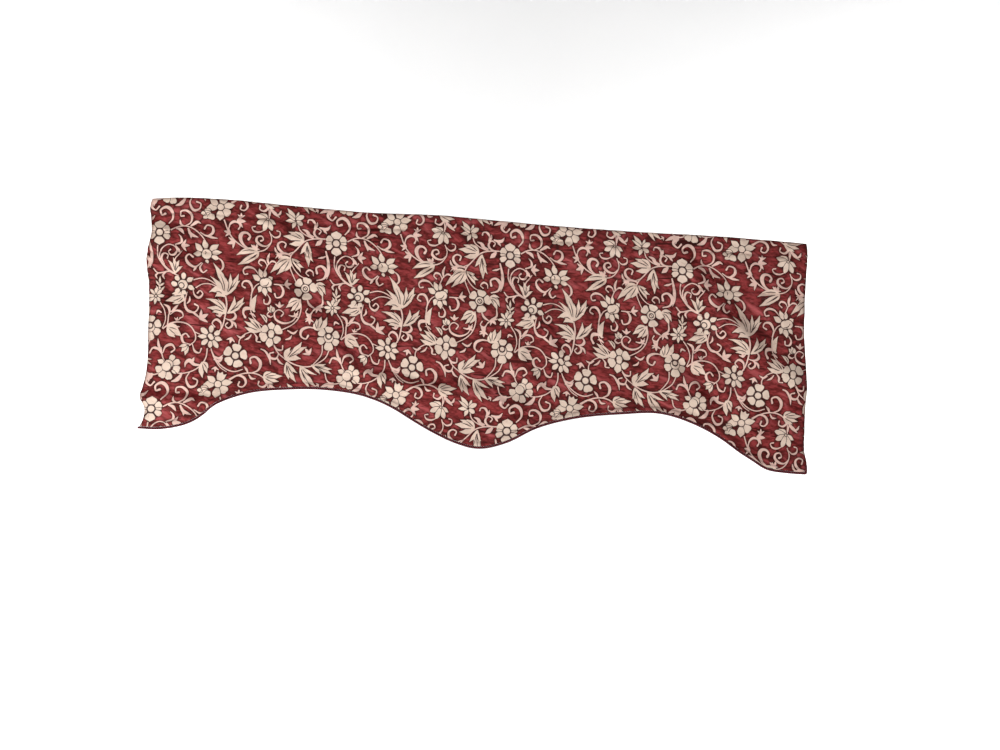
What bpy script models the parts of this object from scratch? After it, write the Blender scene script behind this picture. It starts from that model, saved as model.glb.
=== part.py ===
"""Window valance: a shaped panel of figured cloth with a corded, scalloped hem.

The panel is one length of cloth. Its top is turned down at the back and sewn along two
lines, which makes a header and, between the lines, a pocket for a rod. The cloth hangs
from its top edge and keeps the slack folds and the swung-out sides of the real one.

Metres, +Z up, front facing -Y. The origin is the middle of the top edge.
"""

import bpy
import bmesh
import numpy as np

for leftover in list(bpy.data.objects):
    bpy.data.objects.remove(leftover, do_unlink=True)

MM = 0.001

# Cloth and trim
CLOTH_THICKNESS = 1.5 * MM
CORD_DIAMETER = 4.4 * MM
CORD_SEAT_GAP = 0.3 * MM
CORD_SIDES = 8
CORD_CORNER_POINTS = 4
CORD_RISE_AT_RIGHT = 13.0 * MM   # the cord rounds the lower right corner and climbs the side
CORD_TAIL_AT_LEFT = 3.0 * MM     # and stands a little past the lower left one

# Heading, measured down from the top edge
TOP_ROUNDING = 2.0 * MM
HEADER_SEAM = 32.0 * MM
POCKET_SEAM = 105.0 * MM
TURNED_EDGE = 115.0 * MM
POCKET_FRONT_SWELL = 2.5 * MM
POCKET_BACK_SWELL = 11.0 * MM
POCKET_BACK_SQUARENESS = 0.55               # 1 is a plain arc, smaller is flatter behind

# How far a fold of the skirt is let through to the sewn heading
FOLD_SHARE_IN_HEADING = 0.15
HEADING_EASE = 45.0 * MM

# Mesh: columns across, rows down the skirt below the heading
COLUMNS = 76
SKIRT_ROWS = 15
HEADER_ROWS = (0.45, 0.82)              # shares of the header's depth
POCKET_ROWS = (0.08, 0.28, 0.5, 0.72, 0.92)   # shares of the pocket's depth

# Side edges: (drop below the top edge, x of the left side, x of the right side), mm
SIDE_STATIONS = (
    (0, -628, 634),
    (9, -636, 638),
    (68, -631, 639),
    (115, -638, 641),
    (170, -630, 644),
    (250, -626, 653),
    (350, -625, 658),
    (388, -632, 660),
    (412, -622, 663),
    (434, -624, 668),
    (449, -631, 664),
)

# Top edge: (x, height above the origin), mm; it rides up and sags a little along its length
TOP_STATIONS = (
    (-640, -5),
    (-600, 0),
    (-500, 4),
    (-380, 1),
    (-220, -2.5),
    (-60, 1.5),
    (0, 0),
    (140, -3.5),
    (330, -4),
    (460, -2),
    (640, -4.5),
)

# Scalloped edge of the cloth: (x, drop below the origin), mm; two arches and a point between
HEM_STATIONS = (
    (-632, 447),
    (-590, 445),
    (-545, 431),
    (-500, 400),
    (-430, 366),
    (-350, 351.5),
    (-270, 347.5),
    (-190, 357),
    (-130, 378),
    (-70, 413),
    (-20, 433),
    (30, 440),
    (75, 426),
    (130, 398),
    (200, 373.5),
    (300, 355.5),
    (385, 349.5),
    (440, 362.5),
    (500, 389),
    (545, 420),
    (585, 442),
    (625, 447),
    (668, 447.5),
)

# Folds: (name, height towards the viewer, half width, crest or bottom as (x, z) points), mm
FOLDS = (
    ("turned fold above the left corner", 8, 16, ((-650, -393), (-560, -392), (-490, -388))),
    ("swag over the middle point", 8, 20, ((-245, -280), (-190, -322), (-100, -335), (25, -339), (95, -357))),
    ("hollow above the swag", -4, 18, ((-175, -296), (-60, -302), (50, -303))),
    ("long slanting ridge", 13, 26, ((400, -82), (445, -132), (492, -178), (545, -222), (625, -262))),
    ("hollow beside the long ridge", -9, 20, ((440, -62), (500, -102), (560, -165), (602, -215))),
    ("short slanting hollow", -6, 13, ((405, -248), (448, -283), (482, -318), (515, -362))),
    ("ridge at the upper right corner", 5, 14, ((545, -62), (585, -92), (642, -135))),
    ("right shoulder", 7, 30, ((575, -292), (655, -286))),
    ("hollow at the lower right", -6, 20, ((545, -398), (600, -412), (668, -404))),
    ("hem roll of the right arch", 4, 15, ((290, -358), (385, -352), (445, -364))),
    ("left shoulder", 8, 34, ((-605, -103), (-555, -113))),
    ("hollow below the header, left", -6, 15, ((-650, -45), (-560, -42), (-425, -56))),
    ("slanting hollow, left", -4, 16, ((-472, -98), (-410, -121), (-345, -140))),
    ("slanting ridge, left", 4, 13, ((-402, -140), (-345, -183), (-298, -224))),
    ("upright hollow, left", -4, 13, ((-594, -138), (-588, -190))),
    ("slack of the middle", 4, 28, ((-75, -148), (-10, -180), (60, -205))),
    ("slanting ridge, middle", 3, 16, ((125, -183), (172, -254))),
    ("low slanting ridge, middle", 3, 16, ((92, -255), (152, -336))),
)

# Sway of the whole panel: (x, how far it stands towards the viewer at its lower edge), mm
SWAY_STATIONS = (
    (-640, -5),
    (-440, 4),
    (-200, -3),
    (40, 6),
    (280, -3),
    (480, 3),
    (670, -6),
)


def through(stations, column, place):
    """Value at each place of a smooth curve through one column of a table, in metres."""
    table = np.array(stations, float) * MM
    at, value = table[:, 0], table[:, column]
    slope = np.gradient(value, at)
    i = np.clip(np.searchsorted(at, place) - 1, 0, len(at) - 2)
    span = at[i + 1] - at[i]
    t = np.clip((place - at[i]) / span, 0, 1)
    from_left = (1 + 2 * t) * (1 - t) ** 2 * value[i] + t * (1 - t) ** 2 * span * slope[i]
    from_right = t * t * (3 - 2 * t) * value[i + 1] - t * t * (1 - t) * span * slope[i + 1]
    return from_left + from_right


def distance_to_path(x, z, path):
    """Shortest distance from each point to a line through the path's points."""
    nearest = np.full(x.shape, np.inf)
    for (x0, z0), (x1, z1) in zip(path, path[1:]):
        run, fall = (x1 - x0) * MM, (z1 - z0) * MM
        along = ((x - x0 * MM) * run + (z - z0 * MM) * fall) / (run * run + fall * fall)
        along = np.clip(along, 0, 1)
        gap = np.hypot(x - x0 * MM - along * run, z - z0 * MM - along * fall)
        nearest = np.minimum(nearest, gap)
    return nearest


def relief(x, z):
    """How far the front of the cloth stands towards the viewer."""
    folds = np.zeros(x.shape)
    for _name, height, half_width, path in FOLDS:
        folds += height * MM * np.exp(-(distance_to_path(x, z, path) / (half_width * MM)) ** 2)
    below_heading = np.clip((-z - POCKET_SEAM) / HEADING_EASE, 0, 1)
    share = FOLD_SHARE_IN_HEADING + (1 - FOLD_SHARE_IN_HEADING) * below_heading
    pocket = np.clip((-z - HEADER_SEAM) / (POCKET_SEAM - HEADER_SEAM), 0, 1)
    swell = POCKET_FRONT_SWELL * np.sin(np.pi * pocket)
    full_drop = -through(HEM_STATIONS, 1, np.zeros(1))[0]
    hang = np.clip(z / full_drop, 0, 1)
    return folds * share + swell + through(SWAY_STATIONS, 1, x) * hang


def cloth_rows():
    """Front points of the cloth: x, z and relief, one row for each level, top to bottom."""
    across = np.linspace(0, 1, COLUMNS + 1)
    pocket_depth = POCKET_SEAM - HEADER_SEAM
    levels = [TOP_ROUNDING]
    levels += [share * HEADER_SEAM for share in HEADER_ROWS]
    levels += [HEADER_SEAM]
    levels += [HEADER_SEAM + share * pocket_depth for share in POCKET_ROWS]
    levels += [POCKET_SEAM, TURNED_EDGE]

    bottom = SIDE_STATIONS[-1]
    hem_x = (bottom[1] + across * (bottom[2] - bottom[1])) * MM
    hem_drop = through(HEM_STATIONS, 1, hem_x)
    rows = []
    for level in levels:
        rows.append(np.full(across.shape, level))
    for step in range(1, SKIRT_ROWS + 1):
        rows.append(TURNED_EDGE + (hem_drop - TURNED_EDGE) * step / SKIRT_ROWS)
    drop = np.array(rows)

    left = through(SIDE_STATIONS, 1, drop)
    right = through(SIDE_STATIONS, 2, drop)
    x = left + across * (right - left)
    edge_share = np.clip(1 - drop / hem_drop, 0, 1)
    z = -drop + through(TOP_STATIONS, 1, x) * edge_share
    return x, z, relief(x, -drop), len(levels)


class Shell:
    """Collects rows of points and the faces between them."""

    def __init__(self):
        self.points = []
        self.faces = []

    def row(self, x, y, z):
        """Add a row of points and return their numbers."""
        first = len(self.points)
        self.points += list(zip(x.tolist(), y.tolist(), z.tolist()))
        return np.arange(first, first + len(x))

    def skin(self, loop):
        """Close a ring of rows with faces, column by column."""
        for row, following in zip(loop, loop[1:] + loop[:1]):
            for c in range(COLUMNS):
                self.faces.append((row[c], following[c], following[c + 1], row[c + 1]))

    def caps(self, corners):
        """Fill the same outline at the left and the right end."""
        self.faces.append([row[0] for row in corners])
        self.faces.append([row[-1] for row in reversed(corners)])


def make_cloth():
    """The panel with its header, rod pocket and skirt, as one closed solid."""
    x, z, stand, heading_rows = cloth_rows()
    front_y = -CLOTH_THICKNESS - stand
    shell = Shell()
    front = [shell.row(x[r], front_y[r], z[r]) for r in range(len(x))]
    apex = shell.row(x[0], front_y[0] + CLOTH_THICKNESS, z[0] + TOP_ROUNDING)

    seam = 1 + len(HEADER_ROWS)            # row of the upper seam
    foot = seam + len(POCKET_ROWS) + 1     # row of the lower seam
    edge = heading_rows - 1                # row of the turned edge
    pocket_front = []
    pocket_back = []
    back = []
    for r in range(edge + 1):
        rise = 0.0
        if seam < r < foot:
            share = POCKET_ROWS[r - seam - 1]
            between_seams = front_y[seam] + (front_y[foot] - front_y[seam]) * share
            fullness = np.sin(np.pi * share) ** POCKET_BACK_SQUARENESS
            behind = between_seams + CLOTH_THICKNESS + POCKET_BACK_SWELL * fullness
            rise = behind - front_y[r] - CLOTH_THICKNESS
            pocket_front.append(shell.row(x[r], front_y[r] + CLOTH_THICKNESS, z[r]))
            pocket_back.append(shell.row(x[r], behind, z[r]))
        back.append(shell.row(x[r], front_y[r] + 2 * CLOTH_THICKNESS + rise, z[r]))
    pocket_top = shell.row(x[seam], front_y[seam] + CLOTH_THICKNESS, z[seam])
    pocket_foot = shell.row(x[foot], front_y[foot] + CLOTH_THICKNESS, z[foot])
    skirt_back = [shell.row(x[r], front_y[r] + CLOTH_THICKNESS, z[r]) for r in range(edge, len(x))]

    shell.skin([apex] + front + skirt_back[::-1] + back[::-1])
    shell.skin([pocket_top] + pocket_back + [pocket_foot] + pocket_front[::-1])

    shell.caps([apex, front[0], back[0]])
    for r in range(seam - 1):
        shell.caps([front[r], front[r + 1], back[r + 1], back[r]])
    shell.caps([front[seam - 1], front[seam], pocket_top, back[seam], back[seam - 1]])
    inner_front = [pocket_top] + pocket_front + [pocket_foot]
    inner_back = [pocket_top] + pocket_back + [pocket_foot]
    for k in range(foot - seam):
        r = seam + k
        shell.caps([front[r], front[r + 1], inner_front[k + 1], inner_front[k]])
        shell.caps([inner_back[k], inner_back[k + 1], back[r + 1], back[r]])
    shell.caps([front[foot], front[edge], skirt_back[0], back[edge], back[foot], pocket_foot])
    for k in range(len(skirt_back) - 1):
        r = edge + k
        shell.caps([front[r], front[r + 1], skirt_back[k + 1], skirt_back[k]])

    mesh = bpy.data.meshes.new("valance_cloth")
    mesh.from_pydata(shell.points, [], [[int(i) for i in face] for face in shell.faces])
    tidy = bmesh.new()
    tidy.from_mesh(mesh)
    bmesh.ops.recalc_face_normals(tidy, faces=tidy.faces)
    tidy.to_mesh(mesh)
    tidy.free()
    mesh.shade_smooth()
    mesh.set_sharp_from_angle(angle=np.radians(60))
    cloth = bpy.data.objects.new("valance_cloth", mesh)
    bpy.context.collection.objects.link(cloth)
    middle = front_y[-1] + CLOTH_THICKNESS / 2
    side_rows = slice(edge, len(x))
    right_side = np.stack([x[side_rows, -1], front_y[side_rows, -1] + CLOTH_THICKNESS / 2,
                           z[side_rows, -1]], axis=1)
    return cloth, np.stack([x[-1], middle, z[-1]], axis=1), right_side


def outward(points):
    """Unit directions square to a line in the X-Z plane, to the right of its run."""
    run = np.gradient(points[:, [0, 2]], axis=0)
    run /= np.linalg.norm(run, axis=1, keepdims=True)
    return np.stack([run[:, 1], np.zeros(len(run)), -run[:, 0]], axis=1)


def make_cord(hem, right_side):
    """The twisted cord along the whole hem, as a plain round tube just clear of the cloth."""
    offset = CORD_DIAMETER / 2 + CORD_SEAT_GAP
    along_hem = hem + outward(hem) * offset
    start = along_hem[:1] - np.array([[CORD_TAIL_AT_LEFT, 0, 0]])

    corner = hem[-1]
    downwards = outward(hem)[-1]
    climbing = right_side[::-1]
    sideways = outward(climbing)[0]
    turn = []
    for k in range(1, CORD_CORNER_POINTS):
        share = k / CORD_CORNER_POINTS
        direction = downwards * (1 - share) + sideways * share
        turn.append(corner + direction / np.linalg.norm(direction) * offset)
    up = climbing[1] - climbing[0]
    up /= np.linalg.norm(up)
    foot_of_side = corner + sideways * offset
    top = foot_of_side + up * CORD_RISE_AT_RIGHT
    route = np.concatenate([start, along_hem, turn, [foot_of_side, top]])

    curve = bpy.data.curves.new("hem_cord", "CURVE")
    curve.dimensions = "3D"
    curve.bevel_depth = CORD_DIAMETER / 2
    curve.bevel_resolution = CORD_SIDES // 2 - 2
    curve.use_fill_caps = True
    spline = curve.splines.new("POLY")
    spline.points.add(len(route) - 1)
    for point, place in zip(spline.points, route):
        point.co = (*place, 1)
    cord = bpy.data.objects.new("hem_cord", curve)
    bpy.context.collection.objects.link(cord)
    return cord


def give_material(thing, name, colour, roughness):
    """A plain cloth finish in the piece's own colour."""
    material = bpy.data.materials.new(name)
    material.use_nodes = True
    shader = material.node_tree.nodes["Principled BSDF"]
    shader.inputs["Base Color"].default_value = (*colour, 1)
    shader.inputs["Roughness"].default_value = roughness
    shader.inputs["Metallic"].default_value = 0.0
    thing.data.materials.append(material)


cloth, hem_line, side_line = make_cloth()
cord = make_cord(hem_line, side_line)
give_material(cloth, "figured_cloth", (0.24, 0.05, 0.05), 0.55)
give_material(cord, "twisted_cord", (0.07, 0.012, 0.02), 0.6)
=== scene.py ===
import math

import bpy
import numpy as np
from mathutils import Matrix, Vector, kdtree
from mathutils.bvhtree import BVHTree
from mathutils.geometry import delaunay_2d_cdt


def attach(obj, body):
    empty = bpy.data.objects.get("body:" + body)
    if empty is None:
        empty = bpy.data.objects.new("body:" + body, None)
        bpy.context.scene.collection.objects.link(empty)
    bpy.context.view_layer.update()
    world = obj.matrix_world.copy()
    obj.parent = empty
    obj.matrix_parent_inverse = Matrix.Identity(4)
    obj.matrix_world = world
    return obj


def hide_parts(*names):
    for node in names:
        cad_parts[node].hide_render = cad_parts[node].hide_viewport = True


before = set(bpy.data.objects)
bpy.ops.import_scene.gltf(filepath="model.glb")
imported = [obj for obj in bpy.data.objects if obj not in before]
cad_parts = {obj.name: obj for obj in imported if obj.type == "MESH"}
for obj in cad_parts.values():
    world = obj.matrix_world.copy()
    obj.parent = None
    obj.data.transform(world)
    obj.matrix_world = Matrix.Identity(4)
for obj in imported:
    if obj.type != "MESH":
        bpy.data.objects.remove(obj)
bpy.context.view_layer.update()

# ------------------------------------------------------------------------------------------
# The weaver's chart. Flowers, lobed leaves and scrolling stems of cream yarn, parted by
# lines of dark yarn, are woven into a crimson ground and come again every 336 mm both ways.
# One repeat is set out here in mm, u to the right and v down from the big double bloom.

REPEAT = 336.0
RIM = 1.1                          # dark yarn shows this far beside a petal
RIM_AT = (0.2, 0.45, 0.70, 0.84)   # at these shares of the way out along it
RIM_END = 0.5                      # the last of them this share as wide
RIM_PROFILE = 5                    # points of a petal's profile that the rim goes by
GROOVE = 1.9                       # dark line between two lobes of a leaf
GROOVE_TAPER = (0.6, 1.0, 0.7, 0.1)
INNER_ROOM = 0.8                   # inside a bend a stroke takes up this share of its radius
CAP_ANGLES = (45, 90, 135)         # round end of a stroke, degrees
HEART_SIDES = 12

# half width of a stroke, as a share of the full one, at shares of the way along it
STROKES = {
    "stem": ((0, 0.86), (0.6, 0.80), (1, 0.62)),
    "curl": ((0, 0.26), (0.2, 0.40), (0.38, 0.72), (0.52, 0.84), (0.70, 0.48), (0.88, 0.38), (1, 0.54)),
    "hook": ((0, 0.34), (0.3, 0.62), (0.55, 0.84), (0.8, 0.50), (1, 0.10)),
    "line": ((0, 0.5), (0.4, 1.0), (1, 0.6)),
}
STROKE_STEPS = {"stem": 3, "curl": 4, "hook": 4, "line": 3}

# half width of a petal or lobe, as a share of the full one, at shares of the way out
PETALS = {
    "round": ((0, 0.46), (0.22, 0.74), (0.5, 0.96), (0.74, 1.0), (0.92, 0.74), (1, 0.34), (0.95, 0)),
    "pointed": ((0, 0.44), (0.2, 0.82), (0.42, 1.0), (0.62, 0.82), (0.82, 0.38), (1, 0)),
    "oval": ((0, 0.44), (0.22, 0.80), (0.48, 1.0), (0.72, 0.92), (0.9, 0.52), (1, 0)),
    "spade": ((0, 0.46), (0.22, 0.78), (0.45, 1.0), (0.66, 0.94), (0.82, 0.50), (0.91, 0.22), (1, 0)),
    "crown": ((0, 0.50), (0.3, 0.84), (0.6, 0.94), (0.90, 1.0), (0.74, 0.46), (0.84, 0.22), (1, 0)),
    "blade": ((0, 0.24), (0.20, 0.84), (0.42, 1.10), (0.62, 1.02), (0.82, 0.46), (1, 0)),
    "tooth": ((0, 0.50), (0.3, 0.92), (0.55, 1.0), (0.8, 0.58), (1, 0)),
}

# flowers: (name, u, v, start of the petals,
#           petals as (hour of the clock, reach, width, shape, lean of the tip),
#           heart as rounds of (yarn, aside, down, radius))
FLOWERS = (
    ("double bloom", 0.5, -3.5, 7.6, (
        (12.6, 25, 17, "crown", 0), (2.5, 28, 12, "pointed", 0.06), (4.3, 22, 15.1, "round", 0),
        (6.1, 26, 15, "spade", 0), (8.9, 27, 14, "pointed", 0), (10.2, 25, 12, "pointed", 0)),
        (("dark", 0, 0, 7.7), ("cream", 0, 0, 6.2))),
    ("side bloom", -15, 7, 3.0, (
        (9.7, 16, 9, "pointed", 0), (8.8, 22, 9, "oval", 0), (7.9, 21, 9, "oval", 0),
        (6.5, 14, 14, "round", 0)), ()),
    ("fan bloom", 90, 12.5, 2.4, (
        (10.7, 17, 11, "pointed", -0.25), (9.5, 23, 9.5, "oval", 0), (8.15, 22.5, 9.5, "oval", 0),
        (3.9, 18, 9, "pointed", 0), (5.2, 23, 9.5, "oval", 0), (6.6, 24, 9.5, "oval", 0)),
        (("dark", 0, 0, 3.0), ("cream", 0, 0, 1.7))),
    ("star", 144, 10, 2.2, (
        (11.0, 28, 9, "pointed", -0.1), (12.65, 18, 4.5, "oval", 0), (1.75, 19, 9, "oval", 0.08),
        (4.0, 15.5, 8.5, "oval", 0), (6.7, 17, 7.5, "pointed", 0), (8.8, 20, 7.5, "pointed", 0),
        (10.15, 24, 5.2, "pointed", 0)), ()),
    ("diamond bloom", 221, 48, 8.8, (
        (12, 24, 20, "spade", 0), (6, 24.5, 19, "spade", 0), (10, 21, 13, "round", 0),
        (2, 21, 13, "round", 0), (9.05, 20, 5, "oval", 0), (2.95, 20, 5, "oval", 0),
        (8.05, 22, 10.3, "round", 0), (3.95, 22, 10.3, "round", 0)),
        (("dark", 0, 0, 8.4), ("cream", 0, 0, 6.2))),
    ("flag bloom", 84, 134, 10.5, (
        (11.2, 28.5, 9.5, "pointed", 0), (12.05, 23, 7.5, "pointed", 0.05),
        (9.85, 27, 11, "pointed", 0.06), (7.25, 23, 10, "pointed", -0.12),
        (6.1, 26, 10.5, "pointed", -0.12),
        (4.8, 22.5, 7.5, "pointed", 0), (1.75, 19, 9, "pointed", 0)),
        (("dark", -1.5, 0.8, 9.4), ("dark", 5.5, -0.5, 9.8), ("cream", -1.5, 0.8, 7.9),
         ("cream", 5.5, -0.5, 8.4))),
    ("spiral bloom", 161, 139, 9.4, (
        (10.3, 22, 17.3, "round", 0), (12.5, 21.5, 17.3, "round", 0), (2.65, 21, 18.4, "round", 0),
        (5.6, 22, 18.9, "round", 0), (7.9, 21.5, 16.2, "round", 0)),
        (("dark", 0, 0, 9.6), ("cream", 0, 0, 7.9), ("dark", 0.4, 0.4, 5.2), ("cream", 0.4, 0.4, 3.3))),
    ("cup bloom", 309.5, 87.5, 10.8, (
        (11.8, 27.5, 11, "pointed", -0.10), (1.5, 30, 11, "pointed", 0.10),
        (2.6, 29, 9.5, "pointed", 0.05), (3.7, 23.5, 8.5, "oval", 0), (6, 18, 6.5, "pointed", -0.12),
        (9, 25, 10, "pointed", 0), (10.25, 30, 11, "pointed", 0.12)),
        (("dark", 0, 0, 10.4), ("cream", 0, 0, 9.3))),
    ("ringed bloom", 264, 148, 11.0, (
        (12.2, 23.5, 9, "oval", 0), (1.75, 24.5, 9.5, "pointed", 0.04),
        (3.6, 23.5, 9.5, "pointed", 0.04), (5.8, 19.5, 9.7, "round", 0), (7.35, 22, 9, "oval", 0),
        (9.05, 23, 10, "oval", 0.05),
        (10.6, 21.5, 9, "oval", 0)),
        (("dark", 0, 0, 10.8), ("cream", 0, 0, 9.2), ("dark", -2.8, 1.8, 6.4),
         ("cream", -2.8, 1.8, 4.4))),
    ("little star", 213, 172.5, 3.4, (
        (12.05, 15.5, 5.6, "oval", 0), (1.35, 16, 5.6, "oval", 0), (2.85, 15.5, 5.6, "oval", 0),
        (4.6, 13.5, 6.2, "pointed", 0), (6.1, 16, 5.6, "pointed", 0), (7.7, 16, 5.6, "oval", 0),
        (9.0, 16.5, 5.6, "oval", 0), (10.7, 16.5, 5.2, "oval", 0)),
        (("dark", 0, 0, 3.3), ("cream", 0, 0, 1.8))),
    ("round bloom", 31, 277, 9.0, (
        (12.25, 22.5, 17.3, "round", 0), (2.65, 22, 18.4, "round", 0), (5.4, 22, 18.4, "round", 0),
        (7.6, 22, 17.3, "round", 0), (9.9, 22.5, 18.4, "round", 0)),
        (("dark", 0, 0, 8.3), ("cream", 0, 0, 6.1))),
    ("tall bloom", 97, 231, 8.8, (
        (12.05, 23, 13, "spade", 0), (1.9, 22.5, 18.9, "round", 0), (4.45, 21, 15.1, "round", 0),
        (6.3, 27, 13.5, "spade", 0), (8.2, 22.5, 18.4, "round", 0), (10.15, 21, 15.1, "round", 0)),
        (("dark", 0.4, -1.8, 7.5), ("dark", 0, 2.6, 6.9), ("cream", 0.4, -1.8, 5.6),
         ("cream", 0, 2.6, 5.0))),
    ("bead bloom", 206, 230, 9.2, (
        (12.1, 20.5, 15.1, "round", 0), (2.25, 21, 15.1, "round", 0), (4.1, 22, 13.5, "round", 0),
        (6, 25.5, 17.3, "round", 0), (8.1, 22.5, 14.6, "round", 0), (10.1, 21, 16.2, "round", 0)),
        (("dark", 0, 1.0, 10.0), ("cream", 0, 1.4, 8.6), ("dark", 0, -1.8, 6.7),
         ("cream", 0, -2.2, 4.2))),
    ("daisy", 319.5, 244, 8.2, (
        (12.05, 22, 9, "oval", 0), (1.9, 20, 9, "oval", 0), (3.45, 22.5, 9, "pointed", 0),
        (4.85, 25, 8.5, "oval", 0), (6.05, 21, 8, "oval", 0), (7.55, 22.5, 9, "oval", 0),
        (9, 24.5, 8.5, "pointed", 0), (10.35, 24.5, 10, "oval", 0)),
        (("dark", -1.0, -1.6, 5.9), ("dark", 1.4, 1.8, 5.9), ("cream", -1.0, -1.6, 4.4),
         ("cream", 1.4, 1.8, 4.2))),
    ("tulip bloom", 243, 303, 10.8, (
        (12.8, 23.5, 10.3, "round", 0), (2.1, 24.5, 11.3, "round", 0), (3.45, 23.5, 13, "round", 0),
        (4.35, 21, 4.5, "pointed", 0), (5.7, 25, 13, "round", 0), (7.0, 24.5, 13.5, "round", 0),
        (8.35, 23, 13, "round", 0), (10.2, 22, 10, "pointed", -0.1)),
        (("dark", 1.4, -4.2, 9.4), ("cream", 1.4, -4.2, 8.2), ("dark", -1.8, 0.6, 9.4),
         ("cream", -2.4, 0.2, 8.3))),
    ("drooping bud", 278, 260.5, 2.0, (
        (6.4, 21, 7, "blade", 0), (7.35, 18, 7, "blade", 0), (8.5, 17, 5, "blade", 0)), ()),
    ("small bud", 100, 191, 2.0, (
        (10.5, 15, 7, "blade", 0), (11.4, 15.5, 6.5, "blade", 0), (12.2, 12, 6, "blade", 0)), ()),
)
# dark curled lines inside the flowers: (width, points)
CURLED_LINES = (
    (1.9, ((80, 141), (86, 140), (90, 137), (92, 133))), (1.8, ((306, 81), (308, 84), (307, 88))),
    (1.6, ((158, 137), (161, 138), (163, 142))), (1.6, ((-36, 4), (-29, 6), (-27, 12), (-32, 14))),
)

# leaves: (u and v of the foot, lobes as (u and v of the tip, width, bow to one side)), from
# one side of the leaf to the other
LEAVES = (
    (160, 48, ((143, 31, 8, 0.10), (130, 33, 9, 0.08), (120, 42, 11, 0.04), (131, 56, 9, -0.08))),
    (166, 50, ((175, 71, 6, 0.10), (177, 87, 9, 0.10), (168, 97, 11, 0), (152, 74, 7, -0.06))),
    (73, 76, ((57, 90, 8, -0.12), (45, 98, 9, -0.06), (32, 104, 11, -0.04), (29, 86, 9, 0.10),
              (38, 77, 6, 0.12))),
    (133, 83, ((110, 90, 6, 0.16), (94, 115, 10, 0.06), (106, 117, 9, -0.04), (122, 109, 8, -0.12))),
    (136, 84, ((152, 88, 6, 0.12), (159, 99, 8, 0.10), (153, 109, 7, -0.06))),
    (9, 164, ((8, 130, 6, 0.10), (18, 122, 8, 0.08), (34, 121, 11, 0.06), (37, 134, 9, -0.06),
              (29, 149, 8, -0.14))),
    (342, 168, ((315, 129, 7, 0.10), (321, 103, 11, 0.10), (336, 129, 6, 0.12))),
    (342, 167, ((312, 161, 12, 0.34), (324, 169, 9, 0.30))),
    (346, 199, ((330, 172, 6, 0.08), (306, 173, 8, 0.16), (310, 190, 9, 0.10), (320, 198, 8, 0.12))),
    (13, 198, ((25, 165, 8, 0.14), (44, 165, 11, 0.08), (46, 175, 8, 0), (37, 188, 8, -0.12))),
    (77, 227, ((67, 212, 6, 0.06), (61, 205, 7, 0.06), (53, 203, 8, 0.06), (45, 210, 8, 0),
               (46, 221, 8, -0.10))),
    (88, 210, ((81, 195, 4.5, 0.12), (75, 195, 5, 0.12))),
    (151, 162, ((129, 169, 7, 0.12), (124, 179, 9, 0.04), (133, 185, 8, -0.06), (142, 184, 7, -0.14))),
    (125, 278, ((134, 254, 9, -0.12), (155, 242, 12, 0.06), (165, 251, 11, -0.06),
                (154, 275, 10, -0.10))),
    (127, 283, ((147, 303, 7, 0.08), (145, 321, 10, 0.08), (131, 316, 9, 0.04), (122, 305, 7, -0.08))),
    (152, 289, ((184, 304, 5, 0.06), (182, 327, 11, 0.08), (170, 331, 9, 0.06), (158, 313, 8, -0.06))),
    (173, 286, ((201, 282, 6, 0.08), (213, 291, 8, 0.04), (213, 301, 8, -0.04), (190, 303, 6, -0.08))),
    (84, 314, ((98, 303, 6, -0.12), (108, 306, 7, -0.04), (120, 310, 9, 0), (113, 321, 8, 0.04),
               (103, 327, 8, 0.10))),
    (238, 230, ((257, 227, 8, -0.12), (266, 246, 12, -0.06), (254, 248, 10, 0.10))),
    (266, 170, ((257, 181, 7, -0.16), (245, 186, 9, -0.08), (231, 181, 11, 0), (242, 167, 9, 0.12))),
    (186, 218, ((178, 205, 7, -0.10), (184, 196, 8, -0.06), (192, 191, 10, 0), (203, 191, 9, 0.10))),
    (306, 292, ((318, 303, 7, -0.10), (316, 313, 7, -0.06), (308, 322, 9, 0.06))),
    (63, 192, ((69, 158, 9, -0.14),)),
    (249, 127, ((265, 113, 6, -0.10), (259, 101, 8, -0.06), (247, 96, 8, 0.08), (236, 101, 6, 0.10))),
    (220, 153, ((213, 142, 3.4, 0), (221, 133, 4, 0), (229, 146, 3.4, 0))),
    (220, 164, ((213, 152, 3.4, 0), (220, 150, 3.4, 0), (229, 153, 3.4, 0))),
    (180, 131, ((200, 130, 5, -0.16), (200, 148, 8, -0.20), (195, 155, 8, -0.12), (183, 143, 5, -0.10))),
)

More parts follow.
